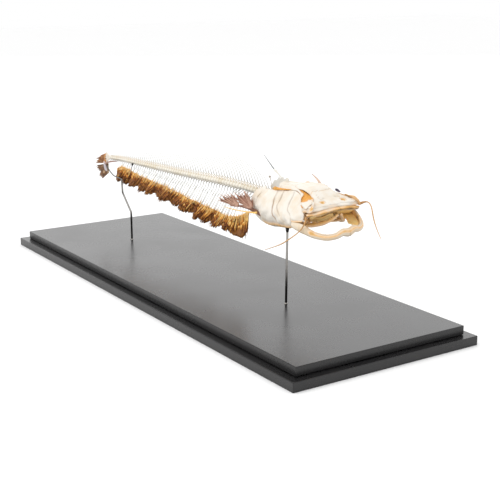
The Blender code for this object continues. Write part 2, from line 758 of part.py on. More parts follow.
def main():
    for old in list(bpy.data.objects):
        bpy.data.objects.remove(old, do_unlink=True)
    collection = bpy.data.collections.new("catfish_skeleton")
    bpy.context.scene.collection.children.link(collection)
    lacquer = material("black_lacquer", (0.012, 0.012, 0.012), 0.25)
    steel = material("rod_steel", (0.35, 0.34, 0.32), 0.35, 1.0)
    finishes = {
        "bone": material("bleached_bone", (0.85, 0.78, 0.66), 0.5),
        "eye": material("dried_eye", (0.08, 0.05, 0.10), 0.4),
        "muscle": material("dried_muscle", (0.75, 0.35, 0.06), 0.5),
    }
    fin_skin = material("dried_fin", (0.30, 0.16, 0.05), 0.6)
    pale_fin = material("pink_fin", (0.45, 0.28, 0.22), 0.6)
    horn = material("dried_barbel", (0.60, 0.36, 0.18), 0.5)
    head = frame("head", HEAD_PLACE, HEAD_TURN)
    jaw = frame("jaw", JAW_PLACE, JAW_TURN)

    bone = finishes["bone"]
    plinth(lacquer)
    rods(steel)
    first, second = COLUMN_CUTS
    column_length("column_front", 0, first, bone)
    column_length("column_middle", first, second, bone)
    column_length("column_rear", second, VERTEBRAE, bone)
    hypural(bone)
    caudal_fin(fin_skin)
    anal_fin(fin_skin)
    tail_bits(fin_skin, steel)
    ribs(bone)
    skull_roof(bone, head)
    upper_jaw(bone, head)
    side_bones(bone, head)
    mandibles(bone, jaw)
    hyoids(bone, head)
    gill_arches(bone, head)
    girdles(bone, head)
    pectoral_fins(pale_fin)
    barbels(horn)
    nape(bone, head)
    dorsal_stub(bone, head)
    small_pieces(finishes, head)


main()
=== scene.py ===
# %% [markdown]
# # The mounted skeleton of a catfish
# This lesson dresses a fixed model of a museum specimen: a catfish's skeleton on two steel rods
# over a black stepped plinth. The model says where everything is and how large it is. What is
# made here are the finer bones, the fins' rays and skins, and a finish for every surface.
# All lengths are drawn in millimetres and turned to metres when a piece is finished.

# %% Load the fixed model
import math

import bmesh
import bpy
import numpy as np
from mathutils import Euler, Matrix, Vector, noise


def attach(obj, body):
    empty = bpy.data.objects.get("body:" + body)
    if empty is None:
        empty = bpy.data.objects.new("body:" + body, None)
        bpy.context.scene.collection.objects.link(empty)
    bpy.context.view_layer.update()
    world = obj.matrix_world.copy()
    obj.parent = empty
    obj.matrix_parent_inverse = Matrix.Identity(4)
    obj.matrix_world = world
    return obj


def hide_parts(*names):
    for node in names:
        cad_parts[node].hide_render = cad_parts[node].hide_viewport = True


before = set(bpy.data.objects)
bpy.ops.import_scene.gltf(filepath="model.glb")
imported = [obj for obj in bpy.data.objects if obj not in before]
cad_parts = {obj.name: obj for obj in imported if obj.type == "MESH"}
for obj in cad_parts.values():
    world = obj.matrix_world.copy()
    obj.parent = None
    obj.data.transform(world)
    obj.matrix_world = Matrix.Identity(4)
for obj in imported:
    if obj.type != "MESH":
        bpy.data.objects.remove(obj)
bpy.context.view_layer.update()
MM = 0.001
GAP = 0.3  # what parts two neighbouring pieces, in mm
SIDEWAYS = (0.0, 1.0, 0.0)
UP = (0.0, 0.0, 1.0)
print("nodes in the model:", len(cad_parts))

# %% [markdown]
# ## The camera
# The photographer stood in front of the fish and to its right, a little above it. The place was
# worked out from the six corners of the plinth in the picture. A Track To constraint could aim the
# camera. Here its matrix is built from three square directions, right, up and back, because that
# also holds the small roll of the picture.

# %% Place the camera
AZIMUTH, ELEVATION, ROLL = (math.radians(angle) for angle in (56.549, 14.656, -0.140))
CAMERA_PLACE = Vector((0.9881, -0.6015, 0.3459))
FOCAL_LENGTH, FILM_WIDTH, NEAREST = 75.7, 36.0, 0.01

back = Vector(
    (math.sin(AZIMUTH) * math.cos(ELEVATION), -math.cos(AZIMUTH) * math.cos(ELEVATION), math.sin(ELEVATION))
)
right = Vector((math.cos(AZIMUTH), math.sin(AZIMUTH), 0))
upward = back.cross(right)
turned_right = right * math.cos(ROLL) + upward * math.sin(ROLL)
turned_up = upward * math.cos(ROLL) - right * math.sin(ROLL)
lens = bpy.data.cameras.new("photographer")
lens.lens = FOCAL_LENGTH
lens.sensor_width = FILM_WIDTH
lens.clip_start = NEAREST
camera = bpy.data.objects.new("photographer", lens)
bpy.context.scene.collection.objects.link(camera)
axes = Matrix((turned_right, turned_up, back)).transposed().to_4x4()
camera.matrix_world = Matrix.Translation(CAMERA_PLACE) @ axes
bpy.context.scene.camera = camera
print("camera height above the floor in mm:", round(CAMERA_PLACE.z / MM))

# %% [markdown]
# ## Light and exposure
# The photograph was taken in a white studio and is overexposed. Many lamps could do that, but a
# bright even world does most of it. One soft lamp from the upper left gives the bones a lit and a
# shaded side, and a panel far behind the tail is what the plinth mirrors. The plain colour
# transform is chosen, as it clips to white like the photograph.

# %% Light the studio
ROOM_BRIGHTNESS = 1.0
SOFT_LAMP_WATTS = 8.0
BACK_WALL_WATTS = 18.0

scene = bpy.context.scene
scene.view_settings.view_transform = "Standard"
room = bpy.data.worlds.new("white_studio")
room.use_nodes = True
room.node_tree.nodes["Background"].inputs["Color"].default_value = (1, 1, 1, 1)
room.node_tree.nodes["Background"].inputs["Strength"].default_value = ROOM_BRIGHTNESS
scene.world = room


def soft_lamp(name, place, width, height, watts):
    """A glowing panel that faces the model."""
    panel = bpy.data.lights.new(name, "AREA")
    panel.shape = "RECTANGLE"
    panel.size = width
    panel.size_y = height
    panel.energy = watts
    lamp = bpy.data.objects.new(name, panel)
    scene.collection.objects.link(lamp)
    lamp.location = place
    lamp.rotation_euler = Vector(place).to_track_quat("Z", "Y").to_euler()


soft_lamp("soft_box", (0.1, -0.9, 1.5), 1.1, 1.1, SOFT_LAMP_WATTS)
soft_lamp("back_wall", (-2.5, 1.65, 1.32), 4.4, 2.0, BACK_WALL_WATTS)
print("lamps:", len(bpy.data.lights))

# %% [markdown] ## The floor The mount stands on white paper that rolls up behind it, so that no
# horizon shows. A curved sweep could be made.

# %% Lay the floor
FLOOR_REACH = 6

floor_shape = bmesh.new()
bmesh.ops.create_grid(floor_shape, x_segments=1, y_segments=1, size=FLOOR_REACH)
floor_mesh = bpy.data.meshes.new("floor")
floor_shape.to_mesh(floor_mesh)
floor_shape.free()
floor = bpy.data.objects.new("floor", floor_mesh)
scene.collection.objects.link(floor)
print("width of the floor in m:", 2 * FLOOR_REACH)

# %% [markdown]
# ## Smooth curves from short tables
# Bones have no straight lines, but a few measured numbers say their shape well enough. Each
# outline is a short table, and a smooth curve is read between its rows. The functions take whole
# arrays, so that a bone of thousands of points is shaped in one step.

# %% Read a smooth curve
def smooth(x, table):
    """What a table of (x, value) rows reads at x, on a smooth curve through its rows."""
    xs, ys = np.array(table, float).T
    slopes = np.gradient(ys, xs)
    k = np.clip(np.searchsorted(xs, x, side="right") - 1, 0, len(xs) - 2)
    span = xs[k + 1] - xs[k]
    s = np.clip((x - xs[k]) / span, 0, 1)
    start = (1 + 2 * s) * (1 - s) ** 2 * ys[k] + s * (1 - s) ** 2 * span * slopes[k]
    end = s * s * (3 - 2 * s) * ys[k + 1] - s * s * (1 - s) * span * slopes[k + 1]
    return start + end


def curve(*points):
    """A smooth path through the points, as a function of t from 0 to 1."""
    shares = np.linspace(0, 1, len(points))
    tables = [list(zip(shares, axis)) for axis in zip(*points)]
    return lambda t: np.stack([smooth(t, table) for table in tables], -1)


def chain(*points):
    """A path of straight runs, each an equal share of t."""
    shares = np.linspace(0, 1, len(points))
    return lambda t: np.stack([np.interp(t, shares, axis) for axis in zip(*points)], -1)


def sized(*table):
    """Half width and half thickness along a bar, from rows of (t, width, thickness)."""
    widths = [(t, width) for t, width, _ in table]
    depths = [(t, depth) for t, _, depth in table]
    return lambda t: (smooth(t, widths), smooth(t, depths))


print("halfway between 0 and 10 a curve reads:", float(smooth(0.5, ((0, 0), (1, 10)))))

# %% [markdown]
# ## Soft steps and lumps
# Nothing on a dried specimen has a hard border: a suture fades out, a stain thins towards its
# edge, and a bone is a little lumpy. All that could be sculpted and painted by hand. As functions
# of a place they can be added and multiplied, and serve the shape and its stain alike.

# %% Measure softly
def at(x, y, z):
    """Places from their three coordinates, any of which may be one number for all."""
    return np.stack(np.broadcast_arrays(x, y, z), -1)


def unit(vectors):
    return vectors / np.linalg.norm(vectors, axis=-1, keepdims=True)


def ridge(distance, width):
    """1 on a line, falling off to nothing within about twice the width."""
    return np.exp(-((distance / width) ** 2))


def step_up(x, start, end):
    """0 before start and 1 after end, with a soft step between them."""
    s = np.clip((x - start) / (end - start), 0, 1)
    return s * s * (3 - 2 * s)


def uneven(spots, pitch, seed=0.0):
    """A soft random value from -1 to 1 at each spot, with lumps about a pitch apart."""
    return np.array([noise.noise(Vector(spot) / pitch + Vector((seed, 0, 0))) for spot in spots])


print("a ridge one width away has fallen to:", round(float(ridge(1.0, 1.0)), 3))

# %% [markdown]
# ## Notes on every point
# A finish has to know what a place alone doesn't tell: how far along its bone and round it a point
# lies, how dark it is there, and how much dried tissue stains it, its warmth. A texture map could
# hold that. A named number on each point is lighter, and it stays true when the bone bends.

# %% Note numbers on a shape
MARKS = ("along", "across", "warmth", "tone")


def new_shape():
    bm = bmesh.new()
    for mark in MARKS:
        bm.verts.layers.float.new(mark)
    return bm


def note(bm, **values):
    """Writes a number at every point of a shape under the name of a mark."""
    for name, value in values.items():
        layer = bm.verts.layers.float[name]
        for vert, number in zip(bm.verts, np.broadcast_to(value, len(bm.verts))):
            vert[layer] = number


def spots_of(bm):
    """The x, y and z of every point of a shape."""
    return np.array([vert.co for vert in bm.verts]).T


def put(bm, spots):
    """Moves every point of a shape to its new spot."""
    for vert, spot in zip(bm.verts, spots):
        vert.co = spot
    return bm


print("numbers noted on each point:", MARKS)

# %% [markdown]
# ## Bars and plates
# Nearly every bone is either a bar or a plate, so two plain shapes are enough. A bar starts as a
# cone with equal ends, cut into rings. A plate starts as a cube, cut into a grid on both faces.
# Both could be typed in as lists of corners, but the operators keep them closed and evenly cut.

# %% Make a bar or a plate
def bar(sides, steps):
    """A plain bar: x and y run round its section, and z from 0 to 1 along it."""
    bm = new_shape()
    bmesh.ops.create_cone(bm, cap_ends=True, segments=sides, radius1=1, radius2=1, depth=1)
    turn = Matrix.Rotation(math.pi / sides, 3, "Z")
    bmesh.ops.rotate(bm, verts=bm.verts, cent=(0, 0, 0), matrix=turn)
    bmesh.ops.translate(bm, verts=bm.verts, vec=(0, 0, 0.5))
    lengthwise = [e for e in bm.edges if abs(e.verts[0].co.z - e.verts[1].co.z) > 0.5]
    if steps > 1:
        bmesh.ops.subdivide_edges(bm, edges=lengthwise, cuts=steps - 1)
    x, y, t = spots_of(bm)
    note(bm, along=t, across=np.arctan2(y, x) / math.pi, tone=0.5)
    return bm


def plate(columns, rows):
    """A plain plate: x and y run from 0 to 1 over it, and z is -1 or 1 on its two faces."""
    bm = new_shape()
    bmesh.ops.create_cube(bm, size=1)
    bmesh.ops.scale(bm, verts=bm.verts, vec=(1, 1, 2))
    bmesh.ops.translate(bm, verts=bm.verts, vec=(0.5, 0.5, 0))
    for axis, count in ((0, columns), (1, rows)):
        runs = [e for e in bm.edges if abs(e.verts[0].co[axis] - e.verts[1].co[axis]) > 0.9]
        if count > 1:
            bmesh.ops.subdivide_edges(bm, edges=runs, cuts=count - 1, use_grid_fill=True)
    u, w, side = spots_of(bm)
    note(bm, along=u, across=w, tone=0.5)
    return bm


print("points of a bar:", len(bar(8, 4).verts), "and of a plate:", len(plate(4, 3).verts))

# %% [markdown]
# ## Bending and laying
# A bone curves in space, so a plain bar is carried along a path, and a plain plate is laid on a
# curved surface. Curve objects and lattices could do it too. Moving the points by formula
# sets the section and the thickness at each point, and leaves the notes where they are.

# %% Bend a bar and lay a plate
def bend(bm, centre, size, up=UP):
    """Bends a bar along a path, its thickness towards up."""
    x, y, t = spots_of(bm)
    ahead = unit(centre(np.minimum(t + 0.01, 1)) - centre(np.maximum(t - 0.01, 0)))
    towards = up(t) if callable(up) else np.broadcast_to(up, ahead.shape)
    across = unit(np.cross(ahead, towards))
    width, depth = size(t)
    sideways = across * (x * width)[:, None]
    return put(bm, centre(t) + sideways + np.cross(across, ahead) * (y * depth)[:, None])


def lay(bm, surface, thickness, normal=None):
    """Lays a plate on a surface of (u, w), with half its thickness on each side."""
    u, w, side = spots_of(bm)
    along = surface(np.minimum(u + 0.01, 1), w) - surface(np.maximum(u - 0.01, 0), w)
    across = surface(u, np.minimum(w + 0.01, 1)) - surface(u, np.maximum(w - 0.01, 0))
    outward = unit(np.cross(along, across)) if normal is None else np.array(normal)
    return put(bm, surface(u, w) + outward * (side * thickness(u, w) / 2)[:, None])


def rounded(u, w, sharpness=12):
    """1 over a plate and falling at its rim, for an edge that is worn round."""
    rim = (1 - np.abs(2 * u - 1) ** sharpness) * (1 - np.abs(2 * w - 1) ** sharpness)
    return 0.2 + 0.8 * np.sqrt(np.maximum(rim, 0))


def join(whole, *parts):
    """Moves finished parts into one shape, each still closed in itself."""
    for part in parts:
        carrier = bpy.data.meshes.new("carrier")
        part.to_mesh(carrier)
        part.free()
        whole.from_mesh(carrier)
        bpy.data.meshes.remove(carrier)
    return whole


print("share of a plate's thickness at its rim:", float(rounded(0.0, 0.5)))

# %% [markdown]
# ## Writing materials as sums
# A finish is a small graph of nodes, which is hard to read as a list of links. It could be drawn in
# the node editor, but then no script could make it again. This class wraps a socket, so that a
# sum such as 1 - mask adds the Math node by itself, and the recipe reads like one.

# %% Wrap a socket
class Value:
    """A socket's output that can be used in sums."""

    def __init__(self, finish, socket):
        self.finish = finish
        self.socket = socket

    def maths(self, operation, first, second=0.0):
        return self.finish.node("ShaderNodeMath", {"operation": operation}, {0: first, 1: second})

    def __add__(self, other):
        return self.maths("ADD", self, other)

    def __radd__(self, other):
        return self.maths("ADD", other, self)

    def __sub__(self, other):
        return self.maths("SUBTRACT", self, other)

    def __rsub__(self, other):
        return self.maths("SUBTRACT", other, self)

    def __mul__(self, other):
        return self.maths("MULTIPLY", self, other)

    def __rmul__(self, other):
        return self.maths("MULTIPLY", other, self)


print("sums in either order:", [name for name in vars(Value) if name.startswith("__r")])

# %% [markdown]
# ## A finish and its nodes
# Every finish starts from the Principled shader, which can stand for bone, skin, lacquer and steel
# alike. What is the same all over is set on its own sockets, and only what changes over the
# surface is linked. Noise reads a point's place on the piece, so a pattern never slides.

# %% Wrap a material
class Finish:
    """A material that is built up by sums and calls."""

    def __init__(self, name):
        self.material = bpy.data.materials.new(name)
        self.material.use_nodes = True
        self.tree = self.material.node_tree
        self.shader = self.tree.nodes["Principled BSDF"]

    def node(self, kind, settings=(), sockets=(), output=0):
        """Adds a node: its own settings are set first, and then its sockets are fed."""
        made = self.tree.nodes.new(kind)
        for setting, value in dict(settings).items():
            if setting == "stops":
                elements = made.color_ramp.elements
                while len(elements) < len(value):
                    elements.new(0.5)
                for element, (place, colour) in zip(elements, value):
                    element.position = place
                    element.color = (*colour, 1)
            else:
                setattr(made, setting, value)
        for socket, value in dict(sockets).items():
            self.feed(made.inputs[socket], value)
        return Value(self, made.outputs[output])

    def feed(self, socket, value):
        if isinstance(value, Value):
            self.tree.links.new(value.socket, socket)
        else:
            socket.default_value = value

    def set(self, **sockets):
        for name, value in sockets.items():
            self.feed(self.shader.inputs[name.replace("_", " ")], value)

    def place(self):
        """Where a point is on the piece, in metres."""
        return self.node("ShaderNodeTexCoord", output=3)

    def mark(self, name):
        return self.node("ShaderNodeAttribute", {"attribute_name": name}, output=2)

    def speckle(self, pitch_mm, detail=3.0, stretch=(1, 1, 1)):
        """Soft noise with lumps about a pitch apart."""
        spots = self.place()
        if stretch != (1, 1, 1):
            spots = self.node("ShaderNodeMapping", {}, {0: spots, "Scale": stretch})
        sockets = {"Vector": spots, "Scale": 1 / (pitch_mm * MM), "Detail": detail}
        return self.node("ShaderNodeTexNoise", {}, sockets)

    def grain(self, along, across):
        """Fine lines that follow a piece lengthwise, from how often they change along and across it."""
        spots = {0: self.mark("along") * along, 1: self.mark("across") * across}
        lines = self.node("ShaderNodeCombineXYZ", {}, spots)
        return self.node("ShaderNodeTexNoise", {}, {"Vector": lines, "Scale": 1.0, "Detail": 2.0})

    def colours(self, value, *stops):
        return self.node("ShaderNodeValToRGB", {"stops": stops}, {0: value})

    def mix(self, share, first, second):
        first = first if isinstance(first, Value) else (*first, 1)
        second = second if isinstance(second, Value) else (*second, 1)
        settings = {"data_type": "RGBA"}
        return self.node("ShaderNodeMix", settings, {0: share, 6: first, 7: second}, output=2)

    def rough_skin(self, height, depth_mm, strength=1.0):
        """A small relief: height from 0 to 1 stands for this depth."""
        sockets = {"Height": height, "Distance": depth_mm * MM, "Strength": strength}
        self.set(Normal=self.node("ShaderNodeBump", {}, sockets))


print("what a finish can do:", [name for name in vars(Finish) if not name.startswith("_")])

# %% [markdown]
# ## Bleached bone
# Museum bone is whitened, but grease and bits of dried tissue leave it cream, peach and in hollows
# golden brown. It could be painted by hand. Here the warmth noted at each point drives the stain,
# broken up by noise so that no edge of it is clean. A low tone mixes in grey, which is painted
# shade on the jaw's underside and on the column's lower arch legs. Pores and grain are relief.

# %% Mix the bone finishes
STAIN = (
    (0.0, (0, 0, 0)), (0.25, (0.84, 0.62, 0.42)), (0.55, (0.74, 0.43, 0.14)),
    (0.85, (0.46, 0.24, 0.06)), (1.0, (0.24, 0.12, 0.04)),
)
# Grey for a low tone: painted shade on the jaw's underside and the column's lower arch legs, and the dark
# ball of the nape's knob.
PAINTED_SHADE_GREY = (0.40, 0.35, 0.31)
BONE_ROUGHNESS, PORE_DEPTH = 0.48, 0.12


def bone_finish(name, pale, cream):
    """Bleached bone: pale and cream are its two main colours."""
    made = Finish(name)
    cloud = made.speckle(14.0, 4.0)
    pores = made.speckle(0.9, 3.0)
    patches = made.colours(cloud, (0.35, cream), (0.55, pale), (0.75, pale))
    patches = made.mix(1 - made.mark("tone") * 2, patches, PAINTED_SHADE_GREY)
    warmth = made.mark("warmth") * (0.55 + made.speckle(3.0, 4.0) * 0.9)
    stained = made.colours(warmth, *STAIN)
    share = made.node("ShaderNodeMapRange", {}, {"Value": warmth, "From Min": 0.03, "From Max": 0.3})
    made.set(Base_Color=made.mix(share, patches, stained))
    made.set(Roughness=BONE_ROUGHNESS - 0.12 * pores + 0.12 * cloud)
    made.rough_skin(pores * 0.5 + made.grain(3.0, 22.0) * 0.7, PORE_DEPTH)
    return made.material


bone_white = bone_finish("bleached_bone", (0.80, 0.75, 0.67), (0.76, 0.66, 0.53))
column_bone = bone_finish("cream_bone", (0.88, 0.84, 0.74), (0.82, 0.75, 0.60))
spine_bone = bone_finish("thin_bone", (0.46, 0.46, 0.43), (0.54, 0.51, 0.45))
grey_bone = bone_finish("grey_bone", (0.74, 0.74, 0.70), (0.74, 0.70, 0.62))
jaw_bone = bone_finish("cream_jaw_bone", (0.80, 0.70, 0.55), (0.76, 0.58, 0.37))
print("bone finishes:", [made.name for made in bpy.data.materials if "bone" in made.name])

# %% [markdown]
# ## Dried tissue
# Skin, muscle and horn all dry hard, streaked and creased. Each could have a graph of its own.
# They share one recipe: a ramp of colours is read along the piece, pushed to and fro by two
# noises and by each piece's own tone, and fine lines along the grain make the relief.

# %% Write the recipe of dried tissue
CLOUD_PITCH, CREASE_PITCH = 6.0, 1.1


def dried_finish(name, stops, roughness=0.5, streak=0.6, relief=0.3, gloss=0.25):
    """Dried tissue: stops are its colours along it, streak is how far its tone shifts them."""
    made = Finish(name)
    cloud = made.speckle(CLOUD_PITCH, 4.0)
    fine = made.speckle(CREASE_PITCH, 3.0)
    along = made.mark("along") + (cloud - 0.5) * 0.7 + (made.mark("tone") - 0.5) * streak
    along = along + (fine - 0.5) * 0.35
    made.set(Base_Color=made.colours(along, *stops), Roughness=roughness + 0.25 * (fine - 0.5))
    made.rough_skin(fine * 0.6 + made.grain(4.0, 60.0) * 0.6, relief)
    made.shader.inputs["Specular IOR Level"].default_value = gloss
    return made.material


print("lumps and creases of dried tissue in mm:", CLOUD_PITCH, CREASE_PITCH)

# %% [markdown]
# ## The skins of the fins
# A ray is gold where it leaves the flesh and nearly black towards its worn tip, with browns
# between. A picture of a fin could be wrapped on. A ramp along each ray serves any number of
# rays, and every ray's tone shifts it a little, so that no two are alike.

# %% Mix the skins of the fins
fin_skin = dried_finish(
    "dried_fin_skin",
    ((0.0, (0.50, 0.24, 0.03)), (0.2, (0.25, 0.085, 0.018)), (0.5, (0.07, 0.021, 0.007)),
     (0.8, (0.13, 0.042, 0.013)), (1.0, (0.26, 0.105, 0.026))), relief=0.4, gloss=0.2,
)
fin_ray = dried_finish(
    "golden_fin_ray",
    ((0.0, (1.0, 0.66, 0.22)), (0.2, (0.82, 0.36, 0.06)), (0.5, (0.31, 0.095, 0.02)),
     (0.75, (0.09, 0.028, 0.009)), (1.0, (0.36, 0.145, 0.032))), streak=0.9, relief=0.25, gloss=0.2,
)
fringe_gold = dried_finish(
    "golden_fringe",
    ((0.0, (1.0, 0.68, 0.28)), (0.25, (0.84, 0.44, 0.10)), (1.0, (0.30, 0.12, 0.02))),
    streak=0.5, relief=0.2, gloss=0.2,
)
tail_upper_skin = dried_finish(
    "orange_tail_skin",
    ((0.0, (0.62, 0.30, 0.10)), (0.4, (0.42, 0.17, 0.05)), (0.7, (0.14, 0.055, 0.02)),
     (1.0, (0.36, 0.16, 0.05))), streak=0.8,
)
tail_lower_skin = dried_finish(
    "dark_tail_skin",
    ((0.0, (0.56, 0.38, 0.22)), (0.3, (0.15, 0.065, 0.02)), (0.6, (0.26, 0.11, 0.035)),
     (0.8, (0.04, 0.02, 0.01)), (1.0, (0.26, 0.13, 0.06))), streak=0.8,
)
pectoral_skin = dried_finish(
    "pink_fin_skin",
    ((0.0, (0.58, 0.36, 0.26)), (0.4, (0.36, 0.18, 0.12)), (0.8, (0.17, 0.075, 0.045)),
     (1.0, (0.07, 0.03, 0.02))),
)
print("skins and rays:", [skin.name for skin in bpy.data.materials if "fin" in skin.name])

# %% [markdown]
# ## Muscle, linings and horn
# Dried muscle is a clear orange, the linings of cheek and throat are peach and gold, and the
# feelers are light brown horn. They lie out of the sun and keep a little more gloss than the
# fins, so one small table gives each its three colours and its roughness.

# %% Mix muscle, linings and horn
SOFT_TISSUES = {
    "orange_muscle": (0.4, (0.50, 0.24, 0.03), (0.80, 0.36, 0.05), (0.66, 0.30, 0.04)),
    "peach_membrane": (0.6, (0.86, 0.64, 0.42), (0.90, 0.76, 0.62), (0.88, 0.68, 0.46)),
    "golden_throat_skin": (0.5, (1.0, 0.70, 0.26), (1.0, 0.76, 0.34), (0.90, 0.54, 0.20)),
    "barbel_horn": (0.4, (0.44, 0.22, 0.07), (0.62, 0.34, 0.12), (0.58, 0.36, 0.18)),
    "dried_eye": (0.3, (0.06, 0.04, 0.08), (0.03, 0.02, 0.05), (0.10, 0.07, 0.12)),
    "dried_sinew": (0.45, (0.40, 0.24, 0.18), (0.34, 0.18, 0.12), (0.24, 0.12, 0.08)),
    "grey_fin_skin": (0.45, (0.20, 0.22, 0.20), (0.12, 0.13, 0.13), (0.22, 0.23, 0.22)),
    "mauve_skin": (0.45, (0.56, 0.50, 0.52), (0.46, 0.41, 0.44), (0.6, 0.54, 0.55)),
    "pinkish_horn": (0.45, (0.62, 0.44, 0.34), (0.70, 0.50, 0.38), (0.50, 0.36, 0.30)),
}
tissue = {}
for name, (roughness, root, middle, end) in SOFT_TISSUES.items():
    halfway = 0.4 if name == "barbel_horn" else 0.5
    stops = ((0.0, root), (halfway, middle), (1.0, end))
    tissue[name] = dried_finish(name, stops, roughness, streak=0.35, relief=0.25, gloss=0.5)
print("soft tissues:", list(tissue))

# %% [markdown]
# ## Lacquer, steel and the floor
# The plinth is sprayed black and rubbed to a semi-gloss: nearly black by itself, and grey where
# it mirrors the room. The rods are drawn steel wire. Both have fine scratches and dust that only
# change how rough they are. The floor is matt white paper.

# %% Mix the mount's finishes
def lacquer_finish():
    """Black lacquer, a little hazy and dusty."""
    made = Finish("black_lacquer")
    haze = made.speckle(60.0, 3.0)
    dust = made.speckle(1.6, 4.0)
    made.set(Base_Color=made.mix(haze, (0.006, 0.006, 0.007), (0.012, 0.011, 0.011)))
    made.set(Roughness=0.20 + 0.10 * haze + 0.05 * dust)
    made.rough_skin(made.speckle(5.0, 2.0), 0.02, 0.3)
    return made.material


def steel_finish(name, dark, light):
    """Drawn wire: dark and light colour its streaks; warmth darkens it, low down as a painted reflection.
    """
    made = Finish(name)
    streaks = made.speckle(0.7, 3.0, stretch=(1, 1, 0.05))
    # Warmth mixes the steel towards near black: a painted reflection of the black plinth on the rods'
    # lowest runs, and a darker bend and wire.
    painted_reflection_and_darkening = made.mark("warmth") * (0.6 + 0.8 * made.speckle(9.0))
    made.set(Base_Color=made.mix(painted_reflection_and_darkening, made.mix(streaks, dark, light), (0.015, 0.014, 0.014)))
    made.set(Roughness=0.22 + 0.25 * streaks, Metallic=1.0)
    made.rough_skin(streaks, 0.02)
    return made.material


def paper_finish():
    """Matt white paper with faint fibres."""
    made = Finish("white_paper")
    fibres = made.speckle(2.0, 3.0)
    made.set(Base_Color=made.mix(fibres, (0.98, 0.98, 0.98), (1.0, 1.0, 1.0)), Roughness=0.9)
    made.rough_skin(fibres, 0.05, 0.3)
    return made.material


lacquer = lacquer_finish()
steel = steel_finish("drawn_steel", (0.30, 0.28, 0.26), (0.46, 0.45, 0.43))
dark_steel = steel_finish("blackened_steel", (0.03, 0.03, 0.03), (0.07, 0.065, 0.06))
floor_mesh.materials.append(paper_finish())
print("mount finishes:", lacquer.name, steel.name, dark_steel.name)

# %% [markdown]
# ## Finishing a piece
# The bones of the head were drawn in the skull's own frame and the lower jaw in its own, so a
# finished shape is carried from there into the model's frame. An object could be moved instead,
# but its place has to end up in the mesh, so that patterns read it right. Faces are
# turned outwards last, because bending and mirroring can turn them in.

# %% Finish a piece
def frame_of(place, turn):
    """The frame at a place in mm, turned by degrees round x, y and z."""
    angles = [math.radians(angle) for angle in turn]
    return Matrix.Translation(place) @ Euler(angles).to_matrix().to_4x4()


HEAD = frame_of((4.0, -2.0, 128.7), (1.0, 0, 0))
JAW = frame_of((200.4, -3.3, 118.9), (8.8, 8.4, 0))
BODY = Matrix.Identity(4)
SIDES = (("right", -1), ("left", 1))
pieces = []


def hand_in(name, bm, finish, nodes=(), where=BODY, side=1):
    """Makes a shape a piece of the model. Side is -1 for the mirror image, on the fish's right."""
    if side < 0:
        bmesh.ops.scale(bm, verts=bm.verts, vec=(1, -1, 1))
    bmesh.ops.transform(bm, matrix=where, verts=bm.verts)
    bmesh.ops.scale(bm, verts=bm.verts, vec=(MM, MM, MM))
    bmesh.ops.recalc_face_normals(bm, faces=bm.faces)
    mesh = bpy.data.meshes.new(name)
    bm.to_mesh(mesh)
    bm.free()
    mesh.materials.append(finish)
    mesh.shade_smooth()
    piece = bpy.data.objects.new(name, mesh)
    scene.collection.objects.link(piece)
    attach(piece, "root")
    if nodes:
        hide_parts(*nodes)
    pieces.append(piece)
    print(name, "has", len(mesh.polygons), "faces")
    return piece


print("place of the head in mm:", [round(part, 1) for part in HEAD.translation])

# %% [markdown]
# ## The plinth
# Two boards of equal thickness, the lower one a board's thickness wider all round. Real boards
# have their edges eased with sandpaper, and those thin round edges catch the light. A Bevel
# modifier would do as well. The operator is used, because the mesh is then final.

# %% Make the plinth
SLAB_LENGTH, SLAB_WIDTH, SLAB_HEIGHT = 600.0, 200.0, 9.5
LEDGE = 9.5
ARRIS = 0.7
FLAT_FACE = 1e-3  # in square metres: larger faces are the flat sides of a board


def wooden_slab(name, length, width, low, high, node):
    """A board with eased edges, between two heights."""
    bm = new_shape()
    bmesh.ops.create_cube(bm, size=1)
    bmesh.ops.scale(bm, verts=bm.verts, vec=(length, width, high - low))
    bmesh.ops.translate(bm, verts=bm.verts, vec=(0, 0, (low + high) / 2))
    bmesh.ops.bevel(
        bm, geom=bm.edges[:], offset=ARRIS, segments=4, profile=0.5, affect="EDGES", material=-1
    )
    piece = hand_in(name, bm, lacquer, (node,))
    for face in piece.data.polygons:
        face.use_smooth = face.area < FLAT_FACE


for name, ledge, low, high, node in (
    ("lower_board", LEDGE, 0, SLAB_HEIGHT, "plinth_lower_slab"),
    ("upper_board", 0, SLAB_HEIGHT + GAP, 2 * SLAB_HEIGHT, "plinth_upper_slab"),
):
    wooden_slab(name, SLAB_LENGTH + 2 * ledge, SLAB_WIDTH + 2 * ledge, low, high, node)
print("height of the plinth in mm:", 2 * SLAB_HEIGHT)

# %% [markdown]
# ## The front rod
# A straight steel rod stands in the board and carries the shoulders. A cylinder would be enough for
# its shape, but a bar has rings all along it, so that it can note where its dark lower third ends,
# which is a painted reflection of the black plinth. A low rounded collar hides the hole in the board.

# %% Make the front rod
ROD_RADIUS = 1.25
WIRE_RADIUS = 0.75
COLLAR_RADIUS, COLLAR_HEIGHT = 2.1, 1.0
FRONT_ROD = ((147, -1.6, 19.05), (148.6, -1.6, 96.6))


def collar(bm, foot):
    """A low rounded ring where a rod enters the board."""
    x, y, z = foot
    shoulder = COLLAR_RADIUS * 0.9
    rise = sized((0, COLLAR_RADIUS, COLLAR_RADIUS), (0.5, shoulder, shoulder), (1, ROD_RADIUS, ROD_RADIUS))
    join(bm, bend(bar(20, 5), curve(foot, (x, y, z + COLLAR_HEIGHT)), rise, SIDEWAYS))


front = bar(20, 24)
# The lower third is painted dark, as a painted reflection of the black plinth below it.
note(front, warmth=1 - step_up(spots_of(front)[2], 0.18, 0.55))
thick = sized((0, ROD_RADIUS, ROD_RADIUS), (1, ROD_RADIUS, ROD_RADIUS))
bend(front, chain(*FRONT_ROD), thick, (1, 0, 0))
collar(front, FRONT_ROD[0])
hand_in("front_rod", front, steel, ("rod_front",))
